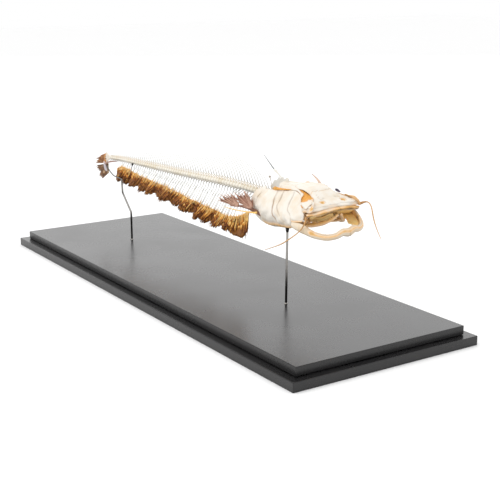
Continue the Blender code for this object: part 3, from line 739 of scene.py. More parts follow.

# %% [markdown]
# ## The rear rod and its wire
# The rear rod was bent by hand in three places and goes on as a thinner wire to the tail's root.
# It could be two pieces. One bar that gets thinner leaves no joint to hide, and a path of
# straight runs shows the bends. The lowest run is painted dark, as a painted reflection of the
# black plinth, and one bend and the wire are painted darker as well.

# %% Make the rear rod and its wire
REAR_ROD = ((-184, -8, 19.05), (-185, -7.5, 54.5), (-211.5, -5.4, 75), (-213.5, -5.4, 92.5))
TAIL_WIRE = (
    (-213.5, -5.4, 92.5), (-219.5, -5.4, 93), (-236, -5, 93.4), (-251, -3.6, 97.5),
    (-261, -2.6, 103),
)

along_wire = curve(*TAIL_WIRE)
run = list(REAR_ROD[:-1]) + [tuple(spot) for spot in along_wire(np.linspace(0, 1, 25))]
share = (len(REAR_ROD) - 1) / (len(run) - 1)
thinner = sized(
    (0, ROD_RADIUS, ROD_RADIUS), (share / 2, ROD_RADIUS, ROD_RADIUS), (share, 1.1, 1.1),
    (share + 0.04, WIRE_RADIUS, WIRE_RADIUS), (share + 0.08, WIRE_RADIUS, WIRE_RADIUS),
    (1, WIRE_RADIUS, WIRE_RADIUS),
)
rear = bar(12, 10 * (len(run) - 1))
t = spots_of(rear)[2] * (len(run) - 1)
# Warmth paints the lowest run dark as a painted reflection of the plinth, and darkens one bend and the
# wire.
note(rear, warmth=1 - 0.75 * step_up(t, 0.8, 1.1) + 0.5 * ridge(t - 2, 0.12) + 0.35 * step_up(t, 3, 4))
bend(rear, chain(*run), thinner, SIDEWAYS)
collar(rear, REAR_ROD[0])
hand_in("rear_rod", rear, steel, ("rod_rear",))

# %% [markdown]
# ## The column
# The backbone has 66 vertebrae, each a little smaller than the one before it. One could be modelled
# and repeated with an Array modifier along a curve, but then all would be alike. Short tables
# say how the column's height, the drums' size and the spines' length change from head to tail.

# %% Measure the column
VERTEBRAE = 66
COLUMN_FRONT, COLUMN_REAR = 118.0, -254.0
PITCH = (COLUMN_FRONT - COLUMN_REAR) / VERTEBRAE
COLUMN_HEIGHT = ((-259, 114.3), (-227, 116.4), (-145, 119.7), (-48, 123.4), (38, 127.2), (118, 127.6))
CENTRUM_RADIUS = ((-254, 1.7), (-150, 2.5), (0, 3.1), (118, 3.6))
SPINE_HEIGHT = (
    (-240, 4), (-215, 8), (-178, 12), (-93, 20.5), (-27, 22.5), (30, 25), (78, 30.5), (94, 28),
    (118, 19),
)
LOWER_SPINE_DEPTH = ((-245, 5), (-215, 6.5), (-190, 9), (-120, 13.5), (0, 18), (62, 20))
HOURGLASS = ((0, 0.9), (0.08, 1.0), (0.5, 0.66), (0.92, 1.0), (1, 0.9))
SPINE_LEAN, RADIAL_LEAN = 0.95, 0.5
LOWER_SPINE_LEAN = ((-250, 1.05), (-120, 0.95), (0, 0.8), (80, 0.6))
TRUNK_VERTEBRAE = 10
ARCH_HEIGHT = 2.2


def column_height(x):
    return smooth(x, COLUMN_HEIGHT)


def vertebra_x(i):
    return COLUMN_FRONT - (i + 0.5) * PITCH


print("length of a vertebra in mm:", round(PITCH, 2))

# %% [markdown]
# ## The drum of a vertebra
# The body of a fish's vertebra is a drum, waisted like an hourglass, with a low ridge along each
# flank. A cylinder with a narrowed middle could be scaled for each. A bar whose radius is
# read from two tables gives every one its own size.

# %% Shape a drum
def centrum(bm, x):
    """The drum of one vertebra, with a ridge along each flank."""
    drum = bar(14, 8)
    across, up, t = spots_of(drum)
    along = x + PITCH * 0.48 - PITCH * 0.96 * t
    radius = smooth(along, CENTRUM_RADIUS) * smooth(t, HOURGLASS)
    radius *= 1 + 0.10 * np.abs(across) ** 6
    note(drum, warmth=0.16 * (1 - smooth(t, HOURGLASS)) / 0.34)
    join(bm, put(drum, at(along, across * radius, column_height(along) + up * radius)))


print("radius of the first drum in mm:", round(float(smooth(vertebra_x(0), CENTRUM_RADIUS)), 2))

# %% [markdown]
# ## Arches and spines
# Two thin legs rise from each drum and join into a long spine that leans back, and behind the
# trunk a second pair hangs below. They could be one solid plate. As separate bars they let the
# light through the canal between the legs. Small hooks lock each vertebra to the next.

# %% Shape an arch, its spine and the hooks
def arch_and_spine(bm, spines, x, up):
    """Two legs and the spine they carry, above the drum or, where up is -1, below it."""
    radius = smooth(x, CENTRUM_RADIUS)
    base = column_height(x)
    reach = smooth(x, SPINE_HEIGHT) if up > 0 else smooth(x, LOWER_SPINE_DEPTH)
    arch = min(radius + ARCH_HEIGHT, 0.75 * reach) if up > 0 else radius + 1.2
    lean = (SPINE_LEAN if up > 0 else smooth(x, LOWER_SPINE_LEAN)) * (reach - arch)
    top = x - (0.35 if up > 0 else 0.3) * PITCH
    for side in (-1, 1):
        leg = curve(
            (x + 0.28 * PITCH, side * 0.62 * radius, base + up * 0.6 * radius),
            (x - 0.02 * PITCH, side * 0.46 * radius, base + up * (0.45 * radius + 0.5 * arch)),
            (top - 0.3, side * 0.16, base + up * (arch + 0.5)),
        )
        limb = bar(5, 3)
        t = spots_of(limb)[2]
        # Legs below the drum get a low tone, which greys them as painted shade under the column.
        note(limb, warmth=0.26 * ridge(t - 0.35, 0.3) if up > 0 else 0.04, tone=0.5 if up > 0 else 0.34)
        join(bm, bend(limb, leg, sized((0, 1.0, 0.32), (0.5, 0.6, 0.25), (1, 0.55, 0.25)), SIDEWAYS))
    bow = 0.10 * lean
    tip = curve(
        (top, 0, base + up * (arch - 0.3)),
        (top - 0.42 * lean + bow, 0, base + up * (arch + 0.5 * (reach - arch))),
        (top - lean, 0, base + up * reach),
    )
    half = min(0.62, radius / 3)
    thin = sized((0, 1.1 * half, 0.8 * half), (0.3, 0.62 * half, 0.5 * half), (1, 0.24, 0.2))
    join(spines, bend(bar(5, 5), tip, thin, SIDEWAYS))


def hooks(bm, x):
    """The small processes that lock a vertebra to the next."""
    radius = smooth(x, CENTRUM_RADIUS)
    base = column_height(x)
    for side in (-1, 1):
        for end, rise, length in ((1, 0.85, 1.5), (-1, 0.8, 1.1)):
            root = (x + end * 0.3 * PITCH, side * 0.5 * radius, base + rise * radius * 0.9)
            tip = (x + end * (0.3 * PITCH + length), side * 0.55 * radius, base + rise * radius + 0.9)
            join(bm, bend(bar(4, 2), curve(root, tip), sized((0, 0.5, 0.3), (1, 0.12, 0.1)), SIDEWAYS))


print("the tallest spine in mm:", max(height for x, height in SPINE_HEIGHT))

# %% [markdown]
# ## The column in three lengths
# The fixed model holds the column in three nodes, so the vertebrae are gathered in the same three
# lengths. An object for each of the 66 would be slower and no easier to change. The spines
# are a piece of their own, because thin bone is greyer than the drums.

# %% Make the three lengths of the column
for tag, first, last in (("front", 0, 18), ("middle", 18, 42), ("rear", 42, 66)):
    drums = new_shape()
    spines = new_shape()
    for i in range(first, last):
        x = vertebra_x(i)
        centrum(drums, x)
        arch_and_spine(drums, spines, x, 1)
        hooks(drums, x)
        if i >= TRUNK_VERTEBRAE:
            arch_and_spine(drums, spines, x, -1)
    hand_in(f"spines_{tag}", spines, spine_bone)
    hand_in(f"vertebrae_{tag}", drums, column_bone, (f"column_{tag}",))

# %% [markdown]
# ## The ribs
# Catfish ribs are short and thin and hang from side processes of the trunk. A curve object with a
# taper would make one. A tapered bar with a bow outwards does the same, and being a mesh
# from the start it can be joined to the others of its side.

# %% Make the ribs
def rib(bm, k):
    """The rib of vertebra k, bowed outwards and back."""
    x = vertebra_x(k) - 1.2
    z = column_height(x)
    radius = smooth(x, CENTRUM_RADIUS)
    drop = 27 - 0.9 * abs(k - 3)
    bow = 15 - 0.5 * k
    route = curve(
        (x + 1.2, radius * 0.8, z - 1.2), (x - 1.2, radius + 2.6, z - 1.8),
        (x - 5, bow * 0.93, z - 0.36 * drop), (x - 12, bow * 0.82, z - drop),
    )
    taper = sized((0, 1.5, 0.7), (0.3, 0.6, 0.4), (0.6, 0.42, 0.36), (1, 0.14, 0.12))
    join(bm, bend(bar(6, 14), route, taper))


for tag, side in SIDES:
    cage = new_shape()
    for k in range(TRUNK_VERTEBRAE):
        rib(cage, k)
    hand_in(f"rib_row_{tag}", cage, spine_bone, (f"ribs_{tag}",), side=side)

# %% [markdown]
# ## The tail's root
# The last vertebrae are fused into a fan of thin plates, the hypurals, with slits between them, and
# the fin's rays start on its edge. The slits could be cut out of one plate. Five tapered bars
# over a thin web give the same grooves with clean, closed surfaces.

# %% Make the hypural fan
bm = new_shape()
for k in range(5):
    w = (k + 0.5) / 5
    x_end = -269 - 1.6 * math.cos(2 * math.pi * (w - 0.5))
    route = curve((-253.2, 0, 113.6 + 2 * w), (-261, 0, 109.6 + 8.0 * w), (x_end, 0, 105.2 + 13.0 * w))
    join(bm, bend(bar(8, 12), route, sized((0, 1.0, 0.7), (0.5, 0.85, 0.9), (1, 0.5, 1.35))))


def web(u, w):
    """The thin sheet between the five plates."""
    x = -254.5 - 13.4 * u
    return at(x, 0, 113.4 - 8 * u + (2.4 + 12.6 * u) * w)


join(bm, lay(plate(10, 10), web, lambda u, w: 0.7 - 0.3 * u, SIDEWAYS))
hand_in("tail_fan", bm, bone_white, ("hypural_plate",))

# %% [markdown]
# ## The tail's lobes
# Each lobe is a worn web of skin with nine rays that stick out of its edge by different amounts. A
# flat card with a transparent picture is the usual trick. A thin solid with notches and real
# bars holds up from every side, and blotches of tone break its colour as on the dried fin.

# %% Make the tail's lobes
BLOTCH_PITCH = 4.5


def tail_lobe(name, root, tip, start, end, sweep, skin, node, seed):
    """A web with ragged rays. Root and tip give the heights of its upper and lower edge."""
    rays = 9
    dice = np.random.default_rng(seed)
    lengths = 0.66 + 0.34 * dice.random(rays)
    turns = dice.random(rays) - 0.5

    def edge(w):
        return (end - start) * (0.72 + 0.28 * (w if sweep > 0 else 1 - w))

    def spot(u, w):
        x = start + edge(w) * u
        high = root[0] + (tip[0] - root[0]) * u
        low = root[1] + (tip[1] - root[1]) * u
        sway = 1.2 * np.sin(3 * u + 4 * w) * u + 0.5 * np.sin(14 * w) * u
        return at(x, sway, high + (low - high) * w)

    def web(u, w):
        ray = np.clip(np.floor(w * rays), 0, rays - 1).astype(int)
        notch = 1 - 0.10 * np.abs(np.cos(math.pi * w * rays)) - 0.10 * np.abs(np.sin(7.3 * w * rays))
        return spot(u * lengths[ray] * notch, w)

    bm = plate(14, 4 * rays)
    lay(bm, web, lambda u, w: 0.9 - 0.5 * u, SIDEWAYS)
    for k in range(rays):
        for side in (-1, 1):

            def path(t):
                """Along ray k, a little outside the web on one side."""
                beside_web = at(0, side * (0.42 - 0.12 * t), 0)
                return spot(t * lengths[k], (k + 0.5) / rays + 0.03 * turns[k] * t) + beside_web

            join(bm, bend(bar(5, 10), path, sized((0, 0.45, 0.4), (0.7, 0.32, 0.28), (1, 0.12, 0.12))))
    note(bm, tone=0.5 + 1.4 * uneven(spots_of(bm).T, BLOTCH_PITCH, seed))
    hand_in(name, bm, skin, (node,))


tail_lobe(
    "upper_tail_lobe", (118.4, 105.2), (109.5, 99), -267, -308.5, 1, tail_upper_skin, "caudal_fin_upper", 3
)
tail_lobe(
    "lower_tail_lobe", (105.5, 92.5), (96, 75), -262, -306, -1, tail_lower_skin, "caudal_fin_lower", 5
)

# %% [markdown]
# ## The long fin under the tail
# The fin is one ragged band from behind the belly to the tail. Its rays stand on thin bones, the
# radials, that reach up between the lower spines, and the skin dried on them has shrunk and
# buckled. Cloth simulation could crease it. Short tables for its top, its depth and its rake
# follow the real outline more closely, and give the same band each time.

# %% Measure the long fin
FIN_FRONT, FIN_REAR = 75.0, -236.0
FIN_TOP = (
    (-236, 102), (-215, 106.5), (-194, 103.5), (-150, 100.5), (-104, 98.5), (-44, 93.5), (0, 91),
    (39, 89.5), (59, 94), (75, 101),
)
FIN_DEPTH = (
    (-262, 9), (-250, 15), (-236, 19), (-222, 20), (-206, 20), (-188, 17), (-164, 18.5), (-124, 16.5),
    (-93, 17), (-62, 17), (-39, 19.5), (1, 19), (25, 17.5), (44, 21.5), (57, 27), (66, 27.5), (72, 25),
    (77, 21),
)
FIN_RAKE = (
    (-236, 0.0), (-205, 0.7), (-150, 1.0), (-20, 1.0), (15, 0.8), (40, 0.5), (60, 0.1), (75, -0.15),
)
FIN_SHADE = ((-236, 0.16), (-208, 0.15), (-150, 0.2), (-20, 0.18), (25, 0.02), (48, -0.16), (75, -0.26))
FIN_WAVE, FIN_WAVELENGTH = 1.6, 41.0
LUMP = 25.0
print("length of the long fin in mm:", FIN_FRONT - FIN_REAR)

# %% [markdown]
# ## A place on the band
# Everything on the fin is placed by two numbers: where it is along the fish, and its share of the
# band's depth. The band could be modelled flat and bent by a Wave modifier. One formula lets the
# skin, the rays and the scraps follow the same waves and lumps, so that they stay together.

# %% Place a spot on the long fin
def fin_gap(x):
    """The height between the fin and the underside of the column."""
    return column_height(x) - smooth(x, CENTRUM_RADIUS) - smooth(x, FIN_TOP)


def ray_columns():
    """The x of each ray: one or two rays to each lower spine."""
    places = []
    for i in range(TRUNK_VERTEBRAE - 1, VERTEBRAE):
        for share in (0.36, 0.68) if i % 5 in (1, 3) else (0.5,):
            root = vertebra_x(i) - (0.3 + share) * PITCH
            places.append(root - RADIAL_LEAN * fin_gap(root - 10))
    return [x for x in places if FIN_REAR + 3 < x < FIN_FRONT - 1.5]


def lump(x):
    """Where x lies in its lump of the lower edge: -0.5 and 0.5 at its ends, 0 in its middle."""
    phase = x / LUMP + 0.25 * np.sin(x / 31) + 0.15 * np.sin(x / 11)
    return phase - np.round(phase)


def fin_depth(x):
    """The depth of the band at x, with the scallops of its lower edge."""
    depth = smooth(x - 14 * smooth(x, FIN_RAKE), FIN_DEPTH)
    return depth * (0.80 + 0.22 * np.sqrt(1 - 4 * lump(x) ** 2) + 0.03 * np.sin(x / 1.3))


def fin_sway(x, share):
    """How far the band leans out of its plane: long waves, bulging lumps and small creases."""
    down = np.clip(share, 0, 1.3)
    wave = FIN_WAVE * np.sin(2 * math.pi * x / FIN_WAVELENGTH) * (0.4 + down)
    bulge = 3.0 * (1 - 4 * lump(x) ** 2) * ridge(down - 0.66, 0.42)
    crease = 0.7 * np.sin(2 * math.pi * x / 5.3 + 5 * share)
    crease = crease + 0.5 * np.sin(2 * math.pi * x / 3.1 - 7 * share)
    return (wave - bulge + crease * down) * (1 - 0.6 * step_up(x, 50, 74))


def fin_shade(x):
    """How much darker than usual the band is at x: it is brown at its rear end and gold in front."""
    return smooth(x, FIN_SHADE)


def fin_spot(x, share, out=0.0):
    """A place on the band: share runs from 0 at its top to 1 at its lower edge."""
    depth = share * fin_depth(x)
    gather = 0.22 * LUMP * lump(x) * np.clip(share, 0, 1) ** 2
    spots = (x - smooth(x, FIN_RAKE) * depth - gather, fin_sway(x, share) + out, smooth(x, FIN_TOP) - depth)
    return at(*spots)


rays = ray_columns()
print("rays in the long fin:", len(rays))

# %% [markdown]
# ## The skin between the rays
# The skin is a thin brown sheet, torn between the rays at its lower edge and full of folds. One
# sheet with a Solidify modifier would be even in thickness. A plate can be thicker between the
# rays, and its lower edge is cut short by an uneven amount at every point.

# %% Dry the skin between the rays
dice = np.random.default_rng(11)
CUTS_PER_RAY = 6


def fin_skin_band(first, last, bounds):
    """The dried skin between the rays, torn at its lower edge."""
    count = last - first
    band = plate(CUTS_PER_RAY * count, 10)
    x_edges = np.array(bounds[first : last + 1])
    tears = 0.92 + 0.08 * dice.random(CUTS_PER_RAY * count + 1)

    def between(u):
        """0 on a ray and 1 halfway to the next."""
        return 0.5 - 0.5 * np.cos(2 * math.pi * u * count)

    def surface(u, w):
        x = np.interp(u, np.linspace(0, 1, count + 1), x_edges)
        torn = np.interp(u, np.linspace(0, 1, len(tears)), tears)
        return fin_spot(x, (1 - w) * torn * (0.86 + 0.14 * between(u)))

    u, w, side = spots_of(band)
    x = np.interp(u, np.linspace(0, 1, count + 1), x_edges)
    # Stripes of tone across the skin are painted light and shade of its small folds.
    painted_fold_shade = 0.35 * np.sin(2 * math.pi * x / 1.9) + 0.3 * np.sin(x / 7)
    note(band, along=1 - w + 0.25 * (2 * lump(x)) ** 4, across=u * count, tone=0.5 + painted_fold_shade)
    return lay(band, surface, lambda u, w: 0.55 + 0.3 * between(u), SIDEWAYS)


print("cuts across the skin between two rays:", CUTS_PER_RAY)

# %% [markdown]
# ## The rays
# Each ray is two thin halves, one on each face of the skin, and some end as loose bristles. They
# could be hair particles, but those have no mesh of their own. A bar of five sides is light
# enough to be repeated hundreds of times, and it tapers to a point.

# %% Make a ray
RAY_PITCH = 1.7


def fin_ray_bar(x, side):
    """One half of a ray, which ends as a bristle past the skin."""
    loose = max(0, math.sin(x / 5.3) + math.sin(x / 8.9) - 1.2)
    reach = 0.88 + 0.12 * dice.random() + loose * 0.5 * dice.random()
    stray = dice.normal(0, 1.2)
    trail = 0.5 + 2.5 * dice.random() + 6 * loose
    ray = bar(5, 11)

    def path(t):
        share = -0.05 + (reach + 0.05) * t
        spots = fin_spot(x + stray * t, share, side * (0.34 + 0.1 * t))
        spots[..., 0] -= trail * t**4
        return spots

    tone = np.clip(dice.normal(0.5, 0.35), -0.4, 1.4)
    note(ray, along=spots_of(ray)[2] + fin_shade(x), tone=tone)
    taper = sized((0, 0.5, 0.3), (0.4, 0.6, 0.42), (0.8, 0.45, 0.34), (1, 0.1, 0.1))
    return bend(ray, path, taper, SIDEWAYS)


print("a ray every", RAY_PITCH, "mm on each face")

# %% [markdown]
# ## Curled scraps of skin
# Where the skin has split it curls off the band, and these scraps catch the light and hide the rays
# behind them. Sculpting them would take long. A small plate bent round an upright line is
# enough, because hundreds of them overlap, each with its own width, height and lean.

# %% Curl a scrap of skin
RIGHT_CURLS = 0.65


def fin_curl(x):
    """A curled scrap of skin that stands off the band."""
    share = 0.25 + 0.55 * dice.random()
    width, height = 0.8 + 1.1 * dice.random(), 3.0 + 4.0 * dice.random()
    side = -1 if dice.random() < RIGHT_CURLS else 1
    lean = 0.9 + dice.normal(0, 0.5)
    middle = fin_spot(x, share)
    scrap = plate(5, 6)
    u, v, face = spots_of(scrap)
    along = 0.1 + share + fin_shade(x) + 0.5 * (0.5 - v)
    note(scrap, along=along, across=4 * u + x, tone=dice.normal(0.5, 0.2))

    def surface(u, v):
        turn = 2.4 * (u - 0.5)
        rise = height * (v - 0.5)
        wide = width * np.sqrt(1.04 - (2 * v - 1) ** 2) * (1 + 0.2 * np.sin(9 * v + x))
        step = wide * np.sin(turn) + lean * rise * 0.7
        out = side * (0.7 + wide * (np.cos(turn) - 0.4) * (0.6 + 0.4 * v))
        return middle + at(step, out, rise - 0.4 * wide * np.sin(turn))

    return lay(scrap, surface, lambda u, v: 0.35, SIDEWAYS)


print("share of the scraps that curl to the right:", RIGHT_CURLS)

# %% [markdown]
# ## The golden fringe
# The muscles that moved the rays have dried to stiff golden ends along the top of the band. They
# could be painted on the skin. As small bars of four sides they stand up freely against the
# light, most of them short and a few long.

# %% Tear the fringe
SHORTEST_HAIR, LONGER_HAIR = 1.0, 4.0


def fringe_hair(x):
    """A stiff end of torn muscle that stands up from the top of the band."""
    height = SHORTEST_HAIR + LONGER_HAIR * dice.random() ** 2
    lean = 0.3 + 0.9 * dice.random()
    top = smooth(x, FIN_TOP)
    out = dice.normal(0, 0.5)
    root = fin_spot(x, 0.06 + 0.16 * dice.random(), out)
    tip = (x + lean * height, float(root[1]) + dice.normal(0, 0.5), top + height)
    hair = bar(4, 3)
    note(hair, along=0.15 * dice.random(), tone=dice.normal(0.5, 0.3))
    taper = sized((0, 0.6, 0.4), (0.6, 0.4, 0.3), (1, 0.1, 0.1))
    return bend(hair, curve(tuple(root), tip), taper, SIDEWAYS)


print("longest hair of the fringe in mm:", SHORTEST_HAIR + LONGER_HAIR)

# %% [markdown]
# ## The radials
# A radial is the thin bone that carries a ray. Each starts inside the band and reaches up towards
# the column, between two lower spines. It could be part of its ray, but it is white bone and the
# ray is golden horn, so the two are kept in pieces with their own finishes.

# %% Make a radial
def radial(x):
    """The thin bone that carries a ray, from inside the band up towards the column."""
    rise = fin_gap(x) * (0.66 + 0.1 * dice.random())
    top = smooth(x, FIN_TOP)
    foot = fin_spot(x, 0.12)
    head = (x + smooth(x, LOWER_SPINE_LEAN) * rise, 0.3 * dice.normal(), top + rise)
    middle = tuple((np.array(foot) + np.array(head)) / 2 + (0.35, 0, 0))
    limb = bar(5, 6)
    t = spots_of(limb)[2]
    note(limb, warmth=0.5 * ridge(t, 0.12))
    thin = sized((0, 0.75, 0.5), (0.3, 0.46, 0.38), (1, 0.24, 0.2))
    return bend(limb, curve(tuple(foot), middle, head), thin, SIDEWAYS)


print("the widest gap that radials cross in mm:", round(float(max(fin_gap(x) for x in rays)), 1))

# %% [markdown]
# ## The fin in three stretches
# The fixed model has the band in three nodes, and each gets its own skin, rays, scraps, fringe
# and radials. One loop walks along the band and draws its random numbers in a fixed order, so
# that the same fin grows each time.

# %% Make the three stretches of the fin
halfways = [(a + b) / 2 for a, b in zip(rays, rays[1:])]
bounds = [FIN_FRONT, *halfways, FIN_REAR]
share = len(rays) // 3
for tag, first, last in (("front", 0, share), ("middle", share, 2 * share), ("rear", 2 * share, len(rays))):
    band = fin_skin_band(first, last, bounds)
    hand_in(f"fin_skin_{tag}", band, fin_skin, (f"anal_fin_{tag}",))
    bristles, curls, hairs, radials = (new_shape() for _ in range(4))
    for x in np.arange(bounds[first] - 0.8, bounds[last], -RAY_PITCH):
        join(bristles, fin_ray_bar(x, -1), fin_ray_bar(x + 0.5, 1))
        join(curls, fin_curl(x - dice.random()))
        for shift in (0, 0.85):
            join(hairs, fringe_hair(x - shift - 0.6 * dice.random()))
    for x in rays[first:last]:
        join(radials, radial(x))
    hand_in(f"fin_rays_{tag}", bristles, fin_ray)
    hand_in(f"fin_curls_{tag}", curls, fin_ray)
    hand_in(f"fin_fringe_{tag}", hairs, fringe_gold)
    hand_in(f"radials_{tag}", radials, grey_bone)

# %% [markdown]
# ## The skull
# The braincase and the flat roof are one piece here, because no opening shows the inside. It could
# be sculpted from a block. Four tables say its half width below and above, its crown and
# its keel: wide at the ears, waisted between the eyes and broadest at the snout.

# %% Measure the skull
SKULL_FRONT, SKULL_REAR = 224.5, 142.0
SKULL_HALF_WIDTH = (
    (142, 9), (149, 15), (161, 16.5), (172, 13.5), (180, 11), (187, 9), (197, 9), (202, 11),
    (206, 16), (210, 24), (213, 27.5), (216, 28.5), (220, 27), (224.5, 20),
)
ROOF_HALF_WIDTH = (
    (142, 9), (149, 15), (161, 17), (172, 15.5), (181, 15.5), (192, 14.8), (200, 14.8),
    (206, 16.2), (210, 19.5), (213, 25), (216, 28.2), (220, 27), (224.5, 20),
)
SKULL_CROWN = (
    (142, 18), (152, 18), (166, 20), (182, 22.5), (196, 22), (206, 18), (215, 13.2), (224.5, 9.8),
)
SKULL_KEEL = (
    (142, -2), (156, -5), (170, -3), (184, 4), (198, 1.5), (208, -2), (214, -1), (219, 4.2),
    (224.5, 7.9),
)
print("length of the skull in mm:", SKULL_FRONT - SKULL_REAR)

# %% [markdown]
# ## Sutures and hollows
# The roof of the real skull is a mosaic of thin bones with wavy seams. A displacement picture
# could press them in. As functions of a place they cut the mesh and stain the grooves in one
# go, and the same is done for the nostrils and the small pits of the snout.

# %% Draw the seams of the roof
def roof_sutures(x, y):
    """1 along the seams between the roof's bones."""
    out = np.abs(y)
    seams = (
        ridge(x - 173 - 0.9 * np.sin(1.7 * y) - 0.06 * out**1.5, 0.4),
        ridge(x - 159 + 0.5 * out - 0.7 * np.sin(2.1 * y), 0.4),
        ridge(x - 204 + 0.22 * out - 0.6 * np.sin(1.3 * y), 0.4),
        ridge(out - 8.6 - 0.5 * np.sin(1.1 * x), 0.35) * step_up(-x, -173, -171) * step_up(x, 150, 153),
        ridge(out - 11 - 0.5 * np.sin(0.9 * x), 0.35) * step_up(x, 205, 208) * step_up(-x, -220, -217),
        ridge(y - 0.35 * np.sin(2.3 * x), 0.3) * step_up(x, 206, 208) * step_up(-x, -174, -172),
    )
    return np.clip(sum(seams), 0, 1)


def hollow(x, y, place, radius, depth):
    """A round pit pressed into the roof."""
    away = np.hypot(x - place[0], y - place[1]) / radius
    return depth * np.exp(-(away**4))


print("seams at the middle of the roof:", round(float(roof_sutures(190.0, 0.0)), 2))

# %% [markdown]
# ## One closed shape
# A bar with many sides and rings becomes the skull: its section is squared, wide above and narrow
# below, and the relief is added on the roof only. A crest stands behind, a long slot lies in the
# middle, and soft lumps keep any part of it from looking cast.

# %% Shape the skull
bm = bar(72, 170)
x, y, t = spots_of(bm)
along = smooth(t, ((0, SKULL_FRONT), (0.46, 201), (1, SKULL_REAR)))
shelf = step_up(y, 0.28, 0.5)
width = smooth(along, SKULL_HALF_WIDTH) * (1 - shelf) + smooth(along, ROOF_HALF_WIDTH) * shelf
top, low = smooth(along, SKULL_CROWN), smooth(along, SKULL_KEEL)
height = (top - low) / 2
across = np.sign(x) * np.abs(x) ** 0.6 * width * np.where(y > 0, 1, 1 - 0.2 * np.abs(y))
level = low + height + np.sign(y) * np.abs(y) ** 0.8 * height
roof = step_up(y, 0.2, 0.55)
under = step_up(-y, 0.2, 0.6)
seams = roof_sutures(along, across) * roof
slot = ridge(across, 0.9) * step_up(along, 177, 181) * step_up(-along, -206, -202)
slot *= 1 - 0.8 * ridge(along - 189, 1.6)
crest = ridge(across, 1.0) * step_up(-along, -170, -158)
brow = ridge(np.abs(across) - 0.72 * width, 1.3)
nostrils = sum(hollow(along, across, (218.6, side * 12.6), 2.4, 1.5) for side in (-1, 1))
corners = sum(hollow(along, across, (216.0, side * 22.8), 1.9, 1.3) for side in (-1, 1))
front_pits = sum(hollow(along, across, (213.0, side * 8.0), 1.6, 0.9) for side in (-1, 1))
knob = 2.2 * ridge(along - 162.5, 2.0) * ridge(across, 1.8)
relief = crest * 1.2 + knob + brow * 0.5 - slot * 1.3 - seams * 0.35 - nostrils - corners - front_pits
spots = at(along, across, level)
lumps = uneven(spots, 7.0) * 0.5 + uneven(spots, 2.6, 9) * 0.22
level = level + (relief + lumps) * roof
level = level - under * (1.0 * ridge(across, 1.6) - lumps * 0.8)
sides = (1 - roof) * (1 - under)
across = across * (1 + 0.02 * sides * uneven(at(along, across, level), 3.0, 4))
notch = 1.6 * ridge(np.abs(across) - 6.5, 2.2) - 0.6 * ridge(across, 2.5)
along = along - notch * step_up(along, 220, 224.4)
pits = np.clip(nostrils / 1.5 + 0.3 * corners + 0.2 * front_pits, 0, 1)
warm = 0.30 * seams + 0.35 * slot + 0.62 * pits
warm = warm + under * (0.30 + 0.45 * step_up(along, 184, 200))
warm = warm + 0.25 * sides * step_up(-along, -200, -190)
note(bm, warmth=warm)
put(bm, at(along, across, level))
hand_in("skull", bm, bone_white, ("neurocranium",), where=HEAD)

# %% [markdown]
# ## Teeth
# Catfish have bands of hundreds of fine teeth, like velvet, on both jaws. Geometry nodes could
# scatter them. A loop along the jaw's path puts them in staggered rows, and a bar of four sides
# that runs to a point is light enough to be repeated hundreds of times.

# %% Make teeth
TOOTH_RADIUS, TOOTH_TIP = 0.17, 0.03


def tooth(root, tip):
    """A short spike."""
    size = sized((0, TOOTH_RADIUS, TOOTH_RADIUS), (1, TOOTH_TIP, TOOTH_TIP))
    made = bend(bar(4, 1), curve(tuple(root), tuple(tip)), size, (0.3, 1, 0.1))
    note(made, warmth=0.05)
    return made


def tooth_band(bm, path, size, count, rows, start, end, lean):
    """Teeth on the face of a bar that lean points to, in rows along its path."""
    for k in range(count):
        for row in range(rows):
            t = start + (end - start) * (k + 0.5 * (row % 2) + 0.3 * dice.random()) / count
            width, depth = size(t)
            middle = path(t)
            ahead = unit(path(min(t + 0.01, 1)) - path(max(t - 0.01, 0)))
            across = unit(np.cross(ahead, UP))
            inward = across * (width * (0.75 - 1.2 * row / max(rows - 1, 1)))
            root = middle + inward + np.array(UP) * depth * 0.82 * lean
            tip = root + np.array(UP) * lean * (0.75 + 0.4 * dice.random()) + across * 0.2
            join(bm, tooth(root, tip))


print("a tooth is at most", 2 * TOOTH_RADIUS, "mm thick")

# %% [markdown]
# ## The upper jaw
# The two premaxillae form a shallow arch under the snout, and meet in a seam. They could be one
# half with a Mirror modifier. The arch is drawn whole, because the far half shows its golden
# inner face and is stained more, and its teeth point down in four rows.

# %% Make the upper jaw
path = curve(
    (218, -30.5, 1.2), (224, -21, 3.2), (227, -8, 5.6), (227, 8, 5.6), (224, 21, 3.2),
    (218, 30.5, 1.2),
)
size = sized((0, 2.0, 1.3), (0.25, 3.0, 1.7), (0.5, 3.0, 1.4), (0.75, 3.0, 1.7), (1, 2.0, 1.3))
bm = bar(18, 120)
x, y, t = spots_of(bm)
seam = ridge(t - 0.5, 0.006)
swell = 1 - 0.35 * seam - 0.12 * ridge(y - 0.2, 0.35) * (x < 0) + 0.05 * np.sin(t * 90) * (y > 0.3)
put(bm, at(x * swell, y * swell, t))
far = step_up(t, 0.42, 0.62)
inner = far * 0.3 * step_up(x, -0.2, 0.6)
note(bm, warmth=0.26 + 0.10 * np.sin(31 * t) + 0.42 * ridge(y + 0.9, 0.9) + inner + 0.25 * seam)
bend(bm, path, size)
tooth_band(bm, path, size, 64, 4, 0.04, 0.96, -1)
hand_in("premaxillae", bm, jaw_bone, ("upper_jaw",), where=HEAD)

# %% [markdown]
# ## The lip of the snout
# Between the roof and the tooth-bearing arch lies a rounded rim of bone, which closes the snout. It
# could be sculpted onto the skull. As a bar of its own along the rim it keeps a crisp shadow
# above the jaw, and small waves in its size make it uneven like the real rim.

